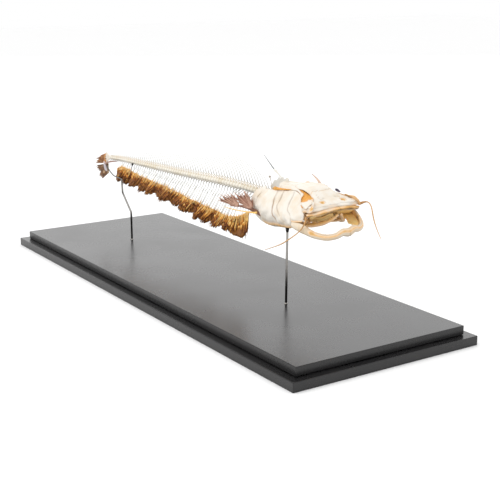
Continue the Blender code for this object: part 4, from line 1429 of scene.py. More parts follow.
# %% Close the snout above the upper jaw
lip = bar(18, 90)
x, y, t = spots_of(lip)
note(lip, warmth=0.10 + 0.10 * np.sin(19 * t) + 0.22 * ridge(y + 0.8, 0.5))
put(lip, at(x * (1 + 0.08 * np.sin(33 * t)), y * (1 + 0.10 * np.sin(47 * t + 2 * x)), t))
bend(
    lip,
    curve(
        (212, -30.4, 5.2), (219, -26, 5.9), (223.6, -14, 7.2), (224.6, 0, 8.0), (223.6, 14, 7.2),
        (219, 26, 5.9), (212, 30.4, 5.2),
    ),
    sized((0, 1.8, 2.2), (0.2, 3.0, 2.4), (0.5, 3.2, 1.6), (0.8, 3.0, 2.4), (1, 1.8, 2.2)),
)
hand_in("snout_lip", lip, bone_white, where=HEAD)

# %% [markdown]
# ## The bone before the eye
# The lachrymal is a small plate at the corner of the snout, with an orange spot where a canal of
# the skin opened. It could be part of the skull, but on the real head it hangs loose from it. A
# plate on a slanting surface is laid there, and its top edge tucks in under the eye's slot.

# %% Make the bone before each eye
TUCK = 0.28

for tag, side in SIDES:
    cheekbone = plate(36, 24)
    u, v, face = spots_of(cheekbone)
    spot = ridge(u - 0.90, 0.17) * ridge(v - 0.60, 0.26) * (0.75 + 0.25 * np.sin(40 * u + 11 * v))
    note(cheekbone, warmth=np.where(face < 0, 0.4, 0.04 + 0.72 * spot + 0.12 * ridge(1 - v, 0.10)))

    def outline(u, v):
        v = v - TUCK * (1 - v) * step_up(u, 0.0, 0.5)
        x = 201.5 + 21.5 * u + 1.5 * np.sin(3 * v)
        y = 19.5 + 6 * u + (9.8 - 5.3 * u) * v + 0.3 * np.sin(13 * u + 5 * v)
        z = 11.4 + 0.2 * u - (8.8 - 2.2 * u + 0.9 * np.sin(9 * u)) * v
        return at(x, y, z)

    lay(cheekbone, outline, lambda u, v: 1.1 * rounded(u, v))
    hand_in(f"lachrymal_{tag}", cheekbone, bone_white, (), HEAD, side)

# %% [markdown]
# ## The lower jaw
# The lower jaw is a wide U of two bars that meet at the chin, with a trough along the inner face and
# a band of teeth on top. It could be one U cut in two by hand. Here each half is bent along
# a squared arc and a plane cuts it at the middle, so that both ends are flat and closed.

# %% Make the two halves of the lower jaw
JAW_REACH, JAW_SPREAD, JAW_SQUARE = 49.0, 30.8, 2 / 2.56
JAW_SIZE = sized(
    (0, 1.8, 3.0), (0.12, 2.2, 4.4), (0.3, 2.2, 3.4), (0.62, 2.4, 2.7), (0.85, 2.4, 3.0),
    (1, 2.8, 4.0),
)
CHIN_LIFT = ((0, 0), (0.8, 0), (0.92, 1), (1, -0.4))


def jaw_path(t):
    """The middle line of one half, from the jaw's joint, t = 0, to the chin, t = 1."""
    turn = math.pi / 2 * (1 - np.clip(t, 0, 1))
    x = 2 + (JAW_REACH - 2) * np.abs(np.cos(turn)) ** JAW_SQUARE
    y = JAW_SPREAD * np.abs(np.sin(turn)) ** JAW_SQUARE
    lift = JAW_SIZE(t)[1] + 1.6 * smooth(t, CHIN_LIFT)
    return at(x, y, lift)


def cut_in_half(bm):
    """Cuts off what reaches the middle plane and closes the cut, leaving half a gap."""
    geom = bm.verts[:] + bm.edges[:] + bm.faces[:]
    middle = (0, GAP / 2, 0)
    cut = bmesh.ops.bisect_plane(bm, geom=geom, plane_co=middle, plane_no=(0, -1, 0), clear_outer=True)
    rim = [e for e in cut["geom_cut"] if isinstance(e, bmesh.types.BMEdge)]
    bmesh.ops.holes_fill(bm, edges=rim, sides=0)


for tag, side in SIDES:
    half = bar(18, 130)
    x, y, t = spots_of(half)
    trough = ridge(y - 0.05, 0.3) * (x < 0) * step_up(t, 0.16, 0.26)
    shelf = 0.16 * ridge(y - 0.75, 0.3) * (x > 0)
    swell = 1 - 0.16 * trough + shelf + 0.03 * np.sin(26 * t + 2 * y)
    put(half, at(x * swell, y * swell, t))
    inner = step_up(x, 0.1, 0.7)
    stripe = ridge(y - 0.55, 0.35) * step_up(t, 0.2, 0.4)
    # Under is the jaw's underside, which is painted warmer and greyer there as painted shade.
    under = ridge(y + 0.95, 0.4) * step_up(t, 0.15, 0.3)
    warm = 0.05 + 0.42 * inner + 0.46 * stripe + 0.12 * under + 0.3 * ridge(t - 0.33, 0.05) * (y > -0.2)
    note(half, warmth=warm, tone=0.5 - 0.26 * under)
    bend(half, jaw_path, JAW_SIZE)
    cut_in_half(half)
    tooth_band(half, jaw_path, JAW_SIZE, 46, 4, 0.24, 0.965, 1)
    hand_in(
        f"lower_jaw_{tag}", half, jaw_bone, (f"mandible_{tag}",), where=JAW, side=side
    )

# %% [markdown]
# ## The dried skin inside the jaw
# The floor of the mouth has dried to a stiff golden shelf along the left half of the lower jaw, and
# has gone from the right half. Cloth pinned to the jaw could sag into place. A plate between
# two smooth curves is laid there, one along the bone and one free, with a few waves.

# %% Lay the dried skin inside the left half of the jaw
GRISTLE_OUTER = ((206, 26.6, 126.2), (222, 25.2, 123.6), (233.5, 22, 119.6), (242.4, 16.4, 117.2))
GRISTLE_INNER = ((204, 17, 123.8), (217.5, 15, 121.4), (229.5, 13, 117.8), (241, 12, 116.4))


def jaw_shelf(u, v):
    """The sheet from the bone, v = 0, to its free edge, v = 1."""
    outer, inner = curve(*GRISTLE_OUTER)(u), curve(*GRISTLE_INNER)(u)
    sag = 0.8 * np.sin(math.pi * v)
    sag = sag + 0.5 * np.sin(9 * u + 3 * v) * v + 0.3 * np.sin(23 * u - 6 * v) * v
    wavy = 0.6 * np.sin(17 * u) * v
    return outer + (inner - outer) * v[..., None] + at(0, wavy, -sag)


gristle = plate(40, 22)
u, v, face = spots_of(gristle)
along = 0.75 - 0.6 * np.sin(math.pi * v) + 0.1 * np.sin(17 * u)
note(gristle, along=along, tone=0.5 + 0.4 * np.sin(9 * u + 5 * v))
lay(gristle, jaw_shelf, lambda u, v: 1.3 * rounded(u, v))
hand_in("jaw_gristle", gristle, tissue["golden_throat_skin"])
print("width of the dried skin in mm:", round(math.dist(GRISTLE_OUTER[1], GRISTLE_INNER[1]), 1))

# %% [markdown]
# ## The side of the head
# The cheek is a mosaic of thin plates that hang between the skull's ear region and the jaw's joint.
# Each could be modelled on its own. On the real head they fit edge to edge on one curved surface,
# so that surface, the flank, is described first, by three lines along the head.

# %% Describe the flank
FLANK_TOP = (
    (108, 14, 9), (136, 17, 14), (156, 18.5, 16.5), (168, 17, 17.4), (184, 14.5, 17.8),
    (194, 18, 15), (204, 26, 12), (212, 30.5, 9.5), (216, 31, 8),
)
FLANK_SIDE = ((112, 25, -3), (140, 29, -5), (160, 31, -4.5), (185, 31.5, -4), (216, 31.5, -4))
FLANK_LOW = (
    (112, 22, -19), (140, 22, -26), (160, 24, -23), (185, 27, -19), (205, 29.5, -15), (216, 30.5, -12),
)


def rows(x, table):
    """The y and z of a table at each x."""
    return np.stack([smooth(x, [(a, y) for a, y, _ in table]), smooth(x, [(a, z) for a, _, z in table])])


def flank(x, w):
    """The outer surface of the head's side, from the roof, w = 0, to the throat, w = 1."""
    top, side, low = rows(x, FLANK_TOP), rows(x, FLANK_SIDE), rows(x, FLANK_LOW)
    lower = w > 0.5
    s = np.clip(np.where(lower, 2 * w - 1, 2 * w), 0, 1)
    start, end = np.where(lower, side, top), np.where(lower, low, side)
    slope_in = np.where(lower, low - top, 2 * (side - top))
    slope_out = np.where(lower, 2 * (low - side), low - top)
    leaving = (1 + 2 * s) * (1 - s) ** 2 * start + s * (1 - s) ** 2 * 0.5 * slope_in
    arriving = s * s * (3 - 2 * s) * end - s * s * (1 - s) * 0.5 * slope_out
    return at(x, *(leaving + arriving))


print("the widest point of the head in mm:", float(2 * flank(185.0, 0.5)[1]))

# %% [markdown]
# ## A plate on the flank
# A cheek bone is thin, a little buckled, and grows in fine ridges that fan from one corner. Its
# edges are stained where it meets its neighbour, and its inner face is golden. One function
# grows any of them from its outline, so that all share the same surface and the same grain.

# %% Grow a plate on the flank
def flank_plate(rear, front, top, low, cells, thick, crest=0.0, fan=(0.5, -0.4), lines=24, fine=0.15):
    """A bone on the flank. Rear and front give x at each w, and top and low give w at each u."""
    bm = plate(*cells)

    def place(u, v):
        w = smooth(u, top) + (smooth(u, low) - smooth(u, top)) * v
        x = smooth(w, rear) + (smooth(w, front) - smooth(w, rear)) * u
        return x, w

    def surface(u, v):
        x, w = place(u, v)
        spots = flank(x, np.clip(w, 0, 1))
        spots[..., 1] += 0.9 * np.sin(x / 4.1 + 6 * w) * np.sin(8 * w + x / 9)
        spots[..., 1] += 0.3 * np.sin(x / 1.6 + 11 * w) * np.sin(19 * w - x / 3)
        return spots

    def grown(u, v):
        angle = np.arctan2(v - fan[1], u - fan[0])
        ridges = 0.5 + 0.5 * np.sin(angle * lines + 2 * np.sin(9 * u) + np.sin(7 * v))
        return thick * rounded(u, v, 30) + crest * ridge(u - 0.5 - 0.1 * v, 0.12) + fine * ridges

    u, v, side = spots_of(bm)
    x, w = place(u, v)
    span = smooth(w, front) - smooth(w, rear)
    broken = 0.5 + 0.8 * uneven(at(x, 40 * w, 0), 6.0)
    rim = np.maximum(ridge(u * span, 1.8), ridge((1 - u) * span, 1.8)) * np.clip(broken, 0, 1)
    lower_rim = ridge((1 - v) * 20, 2.6)
    note(bm, warmth=np.where(side < 0, 0.60, 0.15 * rim + 0.44 * lower_rim))
    return lay(bm, surface, grown)


print("ridges of a bone that isn't told otherwise:", flank_plate.__defaults__[2])

# %% [markdown]
# ## Cheek bones and gill covers
# Three bones make the cheek, and the gill cover hangs behind them like a flap. They could be one
# plate with seams pressed in. As separate plates with a hair's gap they cast real shadow lines.
# The quadrate reaches lower on the right, where the jaw hangs lower.

# %% Make the cheeks and the gill covers
SEAM = 0.08
CHEEK_REAR = ((0, 157.5), (0.06, 158), (0.46, 163), (0.93, 172))
EAR_LINE = ((0, 165.5), (0.11, 166.6), (0.38, 168.7), (0.66, 181.7), (0.8, 190), (0.93, 196))
CHEEK_LINE = (
    (0, 180.5), (0.11, 181.8), (0.34, 184.8), (0.46, 192.6), (0.6, 196.5), (0.8, 197.5), (0.93, 198.5),
)
CHEEK_FRONT = ((0, 208.5), (0.25, 214.5), (0.6, 212))
COVER_REAR = ((0.06, 130.5), (0.32, 125.5), (0.58, 126), (0.92, 139))
COVER_FRONT = ((0.06, 157.4), (0.49, 162.2), (0.92, 170))


def beside(line, shift):
    return [(w, x + shift) for w, x in line]


for tag, side, joint in (("right", -1, 0.57), ("left", 1, 0.3)):
    bones = (
        ("preopercle", CHEEK_REAR, beside(EAR_LINE, -SEAM), ((0, 0.07), (1, 0.06)), ((0, 0.93), (1, 0.93)),
         1.1, 0.9, (0.2, -0.5), 30),
        ("hyomandibular", beside(EAR_LINE, SEAM), beside(CHEEK_LINE, -SEAM), ((0, 0.055), (1, 0.03)),
         ((0, 0.93), (1, 0.90)), 1.0, 1.1, (0.5, -0.3), 26),
        ("quadrate", beside(CHEEK_LINE, SEAM), CHEEK_FRONT, ((0, 0.03), (1, 0.03)),
         ((0, joint + 0.10), (0.4, joint + 0.08), (1, joint + 0.03)), 1.0, 0.5, (0.9, 1.3), 20),
    )
    for name, rear, front, top, low, thick, crest, fan, lines in bones:
        bone = flank_plate(rear, front, top, low, (36, 44), thick, crest, fan, lines)
        nodes = (f"cheek_{tag}",) if name == "preopercle" else ()
        hand_in(f"{name}_{tag}", bone, bone_white, nodes, HEAD, side)
    cover = flank_plate(
        COVER_REAR, COVER_FRONT, ((0, 0.06), (1, 0.06)), ((0, 0.92), (1, 0.92)), (44, 48), 0.7, 0.3,
        (0.95, -0.1), 40, 0.28,
    )
    hand_in(f"gill_cover_{tag}", cover, bone_white, (f"opercle_{tag}",), HEAD, side)

# %% [markdown]
# ## The lining of the cheeks
# A peach membrane has dried onto the inside of the cheek and shows in every gap. It could be a
# second material on the bones' inner faces. A thin plate of its own behind them closes the
# gaps, so that no daylight shows between the bones.

# %% Line the cheeks
LINING_REAR = ((0, 126), (0.3, 117), (0.6, 119), (0.92, 134))
LINING_FRONT = ((0, 203), (0.3, 207), (0.57, 205), (0.64, 196), (0.92, 194))
for tag, side in SIDES:
    lining = flank_plate(
        LINING_REAR, LINING_FRONT, ((0, 0.09), (1, 0.09)), ((0, 0.88), (1, 0.88)), (40, 30), 0.4, fine=0,
    )
    bmesh.ops.translate(lining, verts=lining.verts, vec=(0, -0.9, 0))
    note(lining, along=0.5 + 0.4 * np.sin(spots_of(lining)[0] / 9))
    hand_in(f"cheek_lining_{tag}", lining, tissue["peach_membrane"], (), HEAD, side)

# %% [markdown]
# ## The slot below the eye
# Between the cheek's top and the edge of the roof lies a slope. Bone closes most of it and leaves a
# slot shaped like a boot. A Boolean could cut the slot out. Here the bone's own upper edge
# follows the boot's outline, which keeps the edge round, and its golden brown rim is painted shade
# where the slot drops away.

# %% Close the slot below the eye
ROOF_EDGE = (
    (160, 14.5, 18), (172, 13.2, 19.6), (181, 13.6, 19.4), (192, 13.5, 17), (200, 14.5, 15),
    (206, 17, 14.4), (212, 21, 13.4), (216, 24, 12),
)
BOOT_EDGE = (
    (160, 1), (178, 1), (181, 0.86), (189, 0.62), (195, 0.44), (196.4, 0.1), (198, 0.02),
    (205, 0.04), (207.5, 0.3), (210, 0.8), (212, 1.2), (218, 1.3),
)
SHELF_START, SHELF_LENGTH = 161, 57
FACING = (0, 0.6, 0.8)


def slope(x, share):
    """The sloping surface from the cheek's top, share = 0, up to the edge of the roof, share = 1."""
    low, high = flank(x, np.full_like(x, 0.03)), rows(x, ROOF_EDGE)
    spots = low + (at(x, *high) - low) * np.asarray(share)[..., None]
    spots[..., 2] += 0.25 * np.sin(x / 1.9) * np.sin(3 * share)
    return spots


def cheek_shelf(tag, side):
    """The bone that closes the slope up to the boot's outline."""
    shelf = plate(80, 12)
    u, v, face = spots_of(shelf)
    # The golden brown along the upper rim is painted shade at the slot's edge.
    rim = ridge((1 - v) * 10, 1.6) * (SHELF_START + SHELF_LENGTH * u > 180)
    note(shelf, warmth=np.where(face < 0, 0.5, 0.30 * rim + 0.12 * ridge(v, 0.1)))

    def surface(u, v):
        x = SHELF_START + SHELF_LENGTH * u
        return slope(x, smooth(x, BOOT_EDGE) * v)

    lay(shelf, surface, lambda u, v: 0.9 * rounded(u, v, 20), FACING)
    hand_in(f"cheek_shelf_{tag}", shelf, bone_white, (), HEAD, side)


foot, head = slope(np.full(2, 200.0), np.array([0, 1]))
print("height of the slope at the slot in mm:", round(float(head[2] - foot[2]), 1))

# %% [markdown]
# ## The orange muscles
# The eye's muscle fills the slot with a clear orange, and a smaller one lies over the ear. Both
# could be lumps of metaballs. A plate that follows the same slope a little deeper always fills the
# slot, and a tapered bar is enough for the strip over the ear.

# %% Make the muscles of eye and ear
MUSCLE_START, MUSCLE_LENGTH = 178, 34


def eye_muscle(tag, side):
    """The sheet of fibres behind the slot."""
    muscle = plate(60, 16)
    u, v, face = spots_of(muscle)
    along = 0.35 + 0.5 * (1 - v) + 0.1 * np.sin(30 * u)
    note(muscle, along=along, tone=0.5 + 0.3 * np.sin(22 * u + 6 * v))

    def fibres(u, v):
        spots = slope(MUSCLE_START + MUSCLE_LENGTH * u, -0.1 + 1.35 * v)
        spots[..., 2] -= 1.0 + 0.16 * np.sin(46 * u + 5 * v)
        spots[..., 1] -= 0.5
        return spots

    lay(muscle, fibres, lambda u, v: 0.8 * rounded(u, v), FACING)
    flesh = tissue["orange_muscle"]
    hand_in(f"eye_muscle_{tag}", muscle, flesh, (f"orbit_muscle_{tag}",), HEAD, side)


def ear_muscle(tag, side):
    """The strip along the edge of the roof, over the ear."""
    ear = bar(10, 40)
    t = spots_of(ear)[2]
    note(ear, along=0.1 + 0.5 * t + 0.1 * np.sin(40 * t), tone=0.5 + 0.3 * np.sin(23 * t))
    route = curve((146, 18.4, 13.4), (153, 19.9, 15.0), (162, 19.7, 16.0), (175, 17.2, 17.2))
    bend(ear, route, sized((0, 0.5, 0.5), (0.2, 1.3, 1.9), (0.6, 1.0, 1.1), (1, 0.3, 0.3)))
    hand_in(f"ear_muscle_{tag}", ear, tissue["orange_muscle"], (), HEAD, side)


for tag, side in SIDES:
    cheek_shelf(tag, side)
    eye_muscle(tag, side)
    ear_muscle(tag, side)

# %% [markdown]
# ## The hyoid bars
# From the chin two hyoid bars run back under the throat, and from each seven long flat rays fan out
# below the gill cover. The rays could be an Array. Each is bent on its own, because they get
# longer and droop less from front to back, and each is stained a little differently.

# %% Make the hyoid bars and their rays
def hyoid(tag, side):
    """One hyoid bar and its rays."""
    path = curve(
        (229, 1.7, 0.5), (225, 6, -4.5), (217, 14, -9.5), (203, 19.5, -12.5), (190, 22, -13),
        (178, 23.5, -12.5),
    )
    size = sized((0, 1.5, 1.3), (0.5, 1.8, 2.0), (1, 1.5, 2.2))
    whole = new_shape()
    trunk = bar(16, 60)
    x, y, t = spots_of(trunk)
    note(trunk, warmth=0.34 + 0.25 * ridge(y - 0.5, 0.5) - 0.2 * step_up(t, 0.5, 0.9))
    put(trunk, at(x * (1 - 0.2 * ridge(y, 0.3)), y * (1 + 0.05 * np.sin(40 * t)), t))
    join(whole, bend(trunk, path, size))
    for k in range(2, 9):
        t = (k + 0.75) / 9
        root = path(t)
        length = 20 + 5 * t * 4.5
        low = 1 - t
        middle = root + (-0.5 * length, 0.6 - 1.6 * low, -2.6 - 3 * low)
        tip = root + (-length, -1.5 - 3 * low, -5.2 - 3.4 * low)
        spread = unit(path(min(t + 0.02, 1)) - path(t - 0.02))
        flat = unit(np.cross(spread, tip - root))
        ray = bar(8, 16)
        note(ray, warmth=0.18 + 0.3 * dice.random())
        leaf = sized((0, 0.9, 0.7), (0.5, 1.3, 0.4), (1, 0.5, 0.25))
        join(whole, bend(ray, curve(root, middle, tip), leaf, flat))
    hand_in(f"hyoid_bar_{tag}", whole, bone_white, (f"hyoid_{tag}",), HEAD, side)


for tag, side in SIDES:
    hyoid(tag, side)

# %% [markdown]
# ## The gill basket
# Four arches on each side stand on a bar along the floor of the throat, each with a row of short
# rakers. Half of it could be mirrored. Two loops draw both sides, because the whole is small, and
# every arch is a little lower and narrower than the one in front of it.

# %% Make the gill basket
RAKERS = 11

whole = new_shape()
floor_bar = bar(12, 40)
note(floor_bar, warmth=0.45)
route = curve((223, 0, -4.5), (210, 0, -10), (190, 0, -14), (166, 0, -16))
join(whole, bend(floor_bar, route, sized((0, 1.8, 1.1), (1, 1.6, 1.1))))
for k in range(4):
    x, low, wide = 206 - 10.5 * k, -12 - 2 * k, 17.5 - 0.8 * k
    for side in (-1, 1):
        arch = curve(
            (x, side * 1.2, low + 0.6), (x - 4, side * wide * 0.8, low - 0.5),
            (x - 11, side * wide, low + 7), (x - 17, side * wide * 0.55, -7.6 + 0.2 * k),
        )
        limb = bar(8, 24)
        note(limb, warmth=0.42 + 0.12 * np.sin(9 * spots_of(limb)[2] + k))
        join(whole, bend(limb, arch, sized((0, 0.9, 0.8), (0.6, 0.7, 0.7), (1, 0.5, 0.5))))
        for step in range(RAKERS):
            root = arch(0.12 + 0.07 * step)
            tip = root + (1.9, -side * 1.1, 0.9)
            raker = bend(bar(4, 1), curve(root, tip), sized((0, 0.3, 0.3), (1, 0.08, 0.08)))
            note(raker, warmth=0.5)
            join(whole, raker)
hand_in("gill_basket", whole, bone_white, ("gill_arches",), where=HEAD)

# %% [markdown]
# ## Membranes
# Golden skin has dried over the floor of the throat and under the palate. Cloth simulation could
# stretch it. A plate with a shallow dish and small creases looks the same at this size, and is
# certain to meet the bones along its rim.

# %% Stretch the membranes of throat and palate
THROAT_FLOOR = ((178, 17, -13.5), (196, 16, -12), (210, 12, -9), (223, 3.5, -3.2))
PALATE = ((176, 14, 1), (190, 12, -1.5), (204, 18, -3.5), (214, 24, -2), (219, 25, 1.5))


def membrane(name, table, dish, seed):
    """A creased skin: the table gives its half width and height along the head."""
    bm = plate(44, 44)
    u, v, side = spots_of(bm)
    first, last = table[0][0], table[-1][0]
    crease = uneven(at(60 * u, 40 * v, side), 6.0, seed)
    note(bm, along=0.5 + 0.5 * crease, tone=0.5 + 0.5 * np.sin(30 * v + 9 * u))

    def surface(u, v):
        x = first + (last - first) * u
        wide, level = rows(x, table)
        y = wide * (2 * v - 1) * (1 + 0.05 * np.sin(21 * u))
        crinkle = 0.5 * np.sin(y / 1.7 + 0.6 * np.sin(x / 3)) * np.sin(x / 4.3)
        return at(x, y, level + dish * (2 * v - 1) ** 2 + crinkle)

    lay(bm, surface, lambda u, v: 0.6 * rounded(u, v))
    hand_in(name, bm, tissue["golden_throat_skin"], where=HEAD)


membrane("throat_membrane", THROAT_FLOOR, 4.0, 3)
membrane("palate_membrane", PALATE, -2.0, 8)

# %% [markdown]
# ## The shoulder girdle
# The girdle is a hoop behind the gill covers. Its halves meet under the throat, where they spread
# into a wide plate with golden edges. It could be extruded along a curve. A wide flat bar does it
# in one go, turned so that its face always looks away from the middle of the body.

# %% Make the shoulder girdle
GIRDLE_PATH = curve(
    (131, 15.5, 12.5), (124, 23.5, 5), (124, 26.6, -5), (131.5, 24.5, -16), (141, 14.5, -24.5),
    (147, 0, -27.5),
)
GIRDLE_SIZE = sized((0, 2.5, 0.9), (0.25, 4.2, 1.2), (0.5, 4.4, 1.4), (0.7, 5.4, 1.3), (1, 8.5, 1.0))


def outward(t):
    """Away from a line 6 mm below the middle of the head's frame."""
    spots = GIRDLE_PATH(t)
    return at(0, spots[..., 1], spots[..., 2] + 6)


for tag, side in SIDES:
    hoop = bar(28, 90)
    x, y, t = spots_of(hoop)
    ribs = 1 + 0.12 * np.sin(34 * t + 3 * x) * step_up(t, 0.4, 0.6) + 0.4 * ridge(x + 0.5, 0.12)
    scallop = 1 + 0.05 * np.sin(47 * t) * step_up(np.abs(x), 0.7, 1)
    put(hoop, at(x * scallop, y * ribs, t))
    edge = step_up(np.abs(x), 0.55, 0.95)
    note(hoop, warmth=0.03 + edge * 0.66 * step_up(t, 0.42, 0.6) + 0.16 * (y < 0) * step_up(t, 0.2, 0.6))
    bend(hoop, GIRDLE_PATH, GIRDLE_SIZE, outward)
    cut_in_half(hoop)
    hand_in(f"shoulder_{tag}", hoop, bone_white, (f"girdle_{tag}",), HEAD, side)

# %% [markdown]
# ## The nape
# Behind the skull the first vertebrae are fused under an upright crest, so thin that it looks grey,
# with a small knob on a stalk. A plate with a ragged edge could be cut from a sheet. Here it is
# thick at its foot, where it carries the skull, and thin as paper at its edge.

# %% Make the nape
NAPE_HEIGHT = ((115, 8), (121, 14.5), (128, 18.5), (136, 20.6), (147, 21))


def surface(u, w):
    """The crest from its foot, w = 0, to its ragged edge, w = 1."""
    x = 146 - 30.2 * u
    ragged = 1 + 0.05 * np.sin(26 * u) * w
    rise = smooth(x, NAPE_HEIGHT) * w * ragged
    return at(x + 2.2 * np.sin(3 * w), 0.5 * np.sin(9 * u + 2 * w), rise)


def thickness(u, w):
    low = smooth(w, ((0, 5), (0.3, 4), (0.6, 1.6), (1, 0.9)))
    return low * (1 + 0.16 * np.sin(38 * u + 4 * w) * (w > 0.1))


bm = plate(50, 36)
u, w, side = spots_of(bm)
note(bm, warmth=0.20 * ridge(w - 0.05, 0.2) + 0.16 * ridge(u - 1, 0.1))
crest = lay(bm, surface, thickness, SIDEWAYS)
knob = bend(
    bar(12, 24), curve((118.4, 0, 5.5), (117, 0, 11.5), (114.8, 0, 16.8), (113.6, 0, 19.4)),
    sized((0, 0.8, 0.8), (0.5, 0.35, 0.35), (0.75, 0.7, 0.7), (0.86, 1.5, 1.3), (1, 0.4, 0.4)),
    SIDEWAYS,
)
note(knob, warmth=0.12, tone=0.5 - 0.3 * step_up(spots_of(knob)[2], 13, 16))
join(crest, knob)
hand_in("fused_nape", crest, grey_bone, ("nape_crest",), where=HEAD)

# %% [markdown]
# ## The first fin
# A stub of grey bone and one thin stiff ray are all that is left of the first fin. They could be
# one bar. They are two, because the stub is bone and the ray is dark horn, and the stub alone
# stands for a node of the fixed model.

# %% Make what is left of the first fin
fin_root = bend(
    bar(10, 30), curve((136, 0, 19.8), (128.5, 0, 24), (121.5, 0, 27.4)),
    sized((0, 0.7, 1.3), (0.5, 0.7, 0.9), (0.85, 0.9, 1.5), (1, 0.4, 0.5)), SIDEWAYS,
)
hand_in("first_fin_root", fin_root, grey_bone, ("dorsal_fin_stub",), where=HEAD)
fin_stalk = bend(
    bar(8, 30), curve((122.5, 0, 26.9), (117, 0.3, 30.2), (112, 0, 34), (104.7, 0, 39.1)),
    sized((0, 0.6, 0.7), (0.3, 0.5, 0.55), (1, 0.28, 0.28)), SIDEWAYS,
)
hand_in("first_fin_ray", fin_stalk, tissue["grey_fin_skin"], where=HEAD)

# %% [markdown]
# ## A lobe of a pectoral fin
# The pectoral fins dried folded back along the flank, each in two ragged pinkish brown lobes. A lobe
# could be a cut-out sheet. Here a table gives its reach at every angle from its root, a web is
# spread over that fan, and two thin bars on the web's faces make each ray.

# %% Spread a lobe of a pectoral fin
FRONT_LOBE = (
    (-2, 20), (4, 28), (10, 33), (15, 42), (19, 34), (24, 38), (30, 29), (36, 29), (43, 24), (52, 24),
    (62, 19), (72, 15), (84, 9),
)
REAR_LOBE = (
    (-9, 15), (-4, 26), (0, 42), (3, 56), (6, 42), (11, 36), (18, 29), (27, 27), (37, 20), (48, 10),
)


def fin_lobe(whole, root, table, count):
    """A web with rays that fan from a root. The table gives each angle's reach."""
    first, last = table[0][0], table[-1][0]
    worn = 0.80 + 0.20 * dice.random(count)

    def spot(share, v, out=0.0):
        angle = first + (last - first) * v
        reach = 2 + (smooth(angle, table) - 2) * share
        turn = np.radians(angle)
        sway = 0.07 * reach + 1.5 * np.sin(0.12 * angle) * share + out
        sway = sway + 0.9 * np.sin(2.1 * count * v + 4 * share) * share
        x, z = root[0] - reach * np.cos(turn), root[2] + reach * np.sin(turn)
        return at(x, root[1] + sway, z)

    def web(u, v):
        nearest = np.clip(np.floor(v * count), 0, count - 1).astype(int)
        notch = 1 - 0.28 * np.abs(np.cos(math.pi * v * count)) - 0.10 * np.abs(np.sin(31 * v + 5 * u))
        return spot(u * worn[nearest] * notch, v)

    fan = plate(22, 5 * count)
    u, v, face = spots_of(fan)
    between = np.abs(np.cos(math.pi * v * count))
    note(fan, along=0.15 + 0.45 * between + 0.3 * ridge(1 - u, 0.2) + 0.3 * ridge(u, 0.15))
    join(whole, lay(fan, web, lambda u, v: 0.8 - 0.4 * u, SIDEWAYS))
    width = sized((0, 0.6, 0.4), (0.6, 0.5, 0.3), (1, 0.1, 0.1))
    for k in range(count):
        for out in (-0.35, 0.35):
            ray = bar(5, 12)
            note(ray, along=0.12, tone=dice.random())

            def path(t):
                """Along ray k, on one face of the web."""
                return spot(t * worn[k], np.full_like(t, (k + 0.5) / count), out)

            join(whole, bend(ray, path, width, SIDEWAYS))


print("longest reach of the lobes in mm:", max(reach for angle, reach in FRONT_LOBE + REAR_LOBE))

# %% [markdown]
# ## The pectoral fins
# Each fin grows from a neck of skin at the shoulder, with a stiff golden spine in front. The fins
# could be mirrored copies. They are drawn one after the other instead, so that each wears in
# its own way, as the two sides of a real specimen do.

# %% Make the pectoral fins
def pectoral(tag, side):
    """A fin's two lobes and the neck they grow from, and its spine."""
    whole = new_shape()
    fin_lobe(whole, (133, 32.8, 119.5), FRONT_LOBE, 13)
    fin_lobe(whole, (110, 33.8, 118.0), REAR_LOBE, 9)
    neck = bar(8, 20)
    note(neck, along=0.75)
    route = curve((142, 27, 112.5), (135, 31.6, 117.6), (125, 33.6, 119.2), (105, 34.4, 118.6))
    width = sized((0, 1.0, 0.8), (0.35, 2.2, 1.0), (0.7, 1.2, 0.6), (1, 0.8, 0.4))
    join(whole, bend(neck, route, width, SIDEWAYS))
    hand_in(f"pectoral_web_{tag}", whole, pectoral_skin, (f"pectoral_fin_{tag}",), side=side)
    spine = bar(8, 24)
    note(spine, along=0.03, tone=0.5)
    bend(
        spine, curve((138, 31.5, 116.6), (124, 33.6, 115.2), (102, 35, 113.6), (81, 36, 113.4)),
        sized((0, 1.3, 1.0), (0.3, 0.7, 0.6), (0.8, 0.4, 0.35), (1, 0.12, 0.12)), SIDEWAYS,
    )
    hand_in(f"pectoral_spine_{tag}", spine, fin_ray, side=side)


for tag, side in SIDES:
    pectoral(tag, side)

# %% [markdown]
# ## The feelers
# A catfish's feelers are horny whips that spring from a small bone at the corner of the mouth. A
# curve with a bevel would draw one. A bar along the same points is used, because its small
# knots and its taper are set at each ring.

# %% Make the feelers
RIGHT_FEELER = (
    (223, -33.5, 128.6), (224, -36, 122.5), (217, -37.5, 113.6), (199, -38, 101.6), (186, -38, 94.6),
    (162, -38, 84.6),
)
LEFT_FEELER = (
    (222.5, 29.5, 133.4), (229, 32, 136.2), (236, 31, 136.4), (241, 30, 132.5), (244.5, 30, 122.5),
    (249, 30, 114.2), (255.5, 30, 105.6),
)
for tag, route in (("right", RIGHT_FEELER), ("left", LEFT_FEELER)):
    whip = bar(10, 110)
    x, y, t = spots_of(whip)
    knots = 1 + 0.10 * np.sin(150 * t) * (t > 0.05)
    put(whip, at(x * knots, y * knots, t))
    taper = sized((0, 1.5, 1.4), (0.06, 1.3, 1.2), (0.16, 0.85, 0.85), (0.7, 0.6, 0.6), (1, 0.3, 0.3))
    bend(whip, curve(*route), taper, (0, 1, 0.1))
    hand_in(f"feeler_{tag}", whip, tissue["barbel_horn"], (f"barbel_{tag}",))

# %% [markdown]
# ## Remains on the head
# A mount keeps odd bits: the dried eye, a loose sliver of bone and flakes of skin along the far edge
# of the roof. They could be left out, but they make a specimen look real. Each is a short bar,
# bent and tapered, and the flakes are flattened to scales.

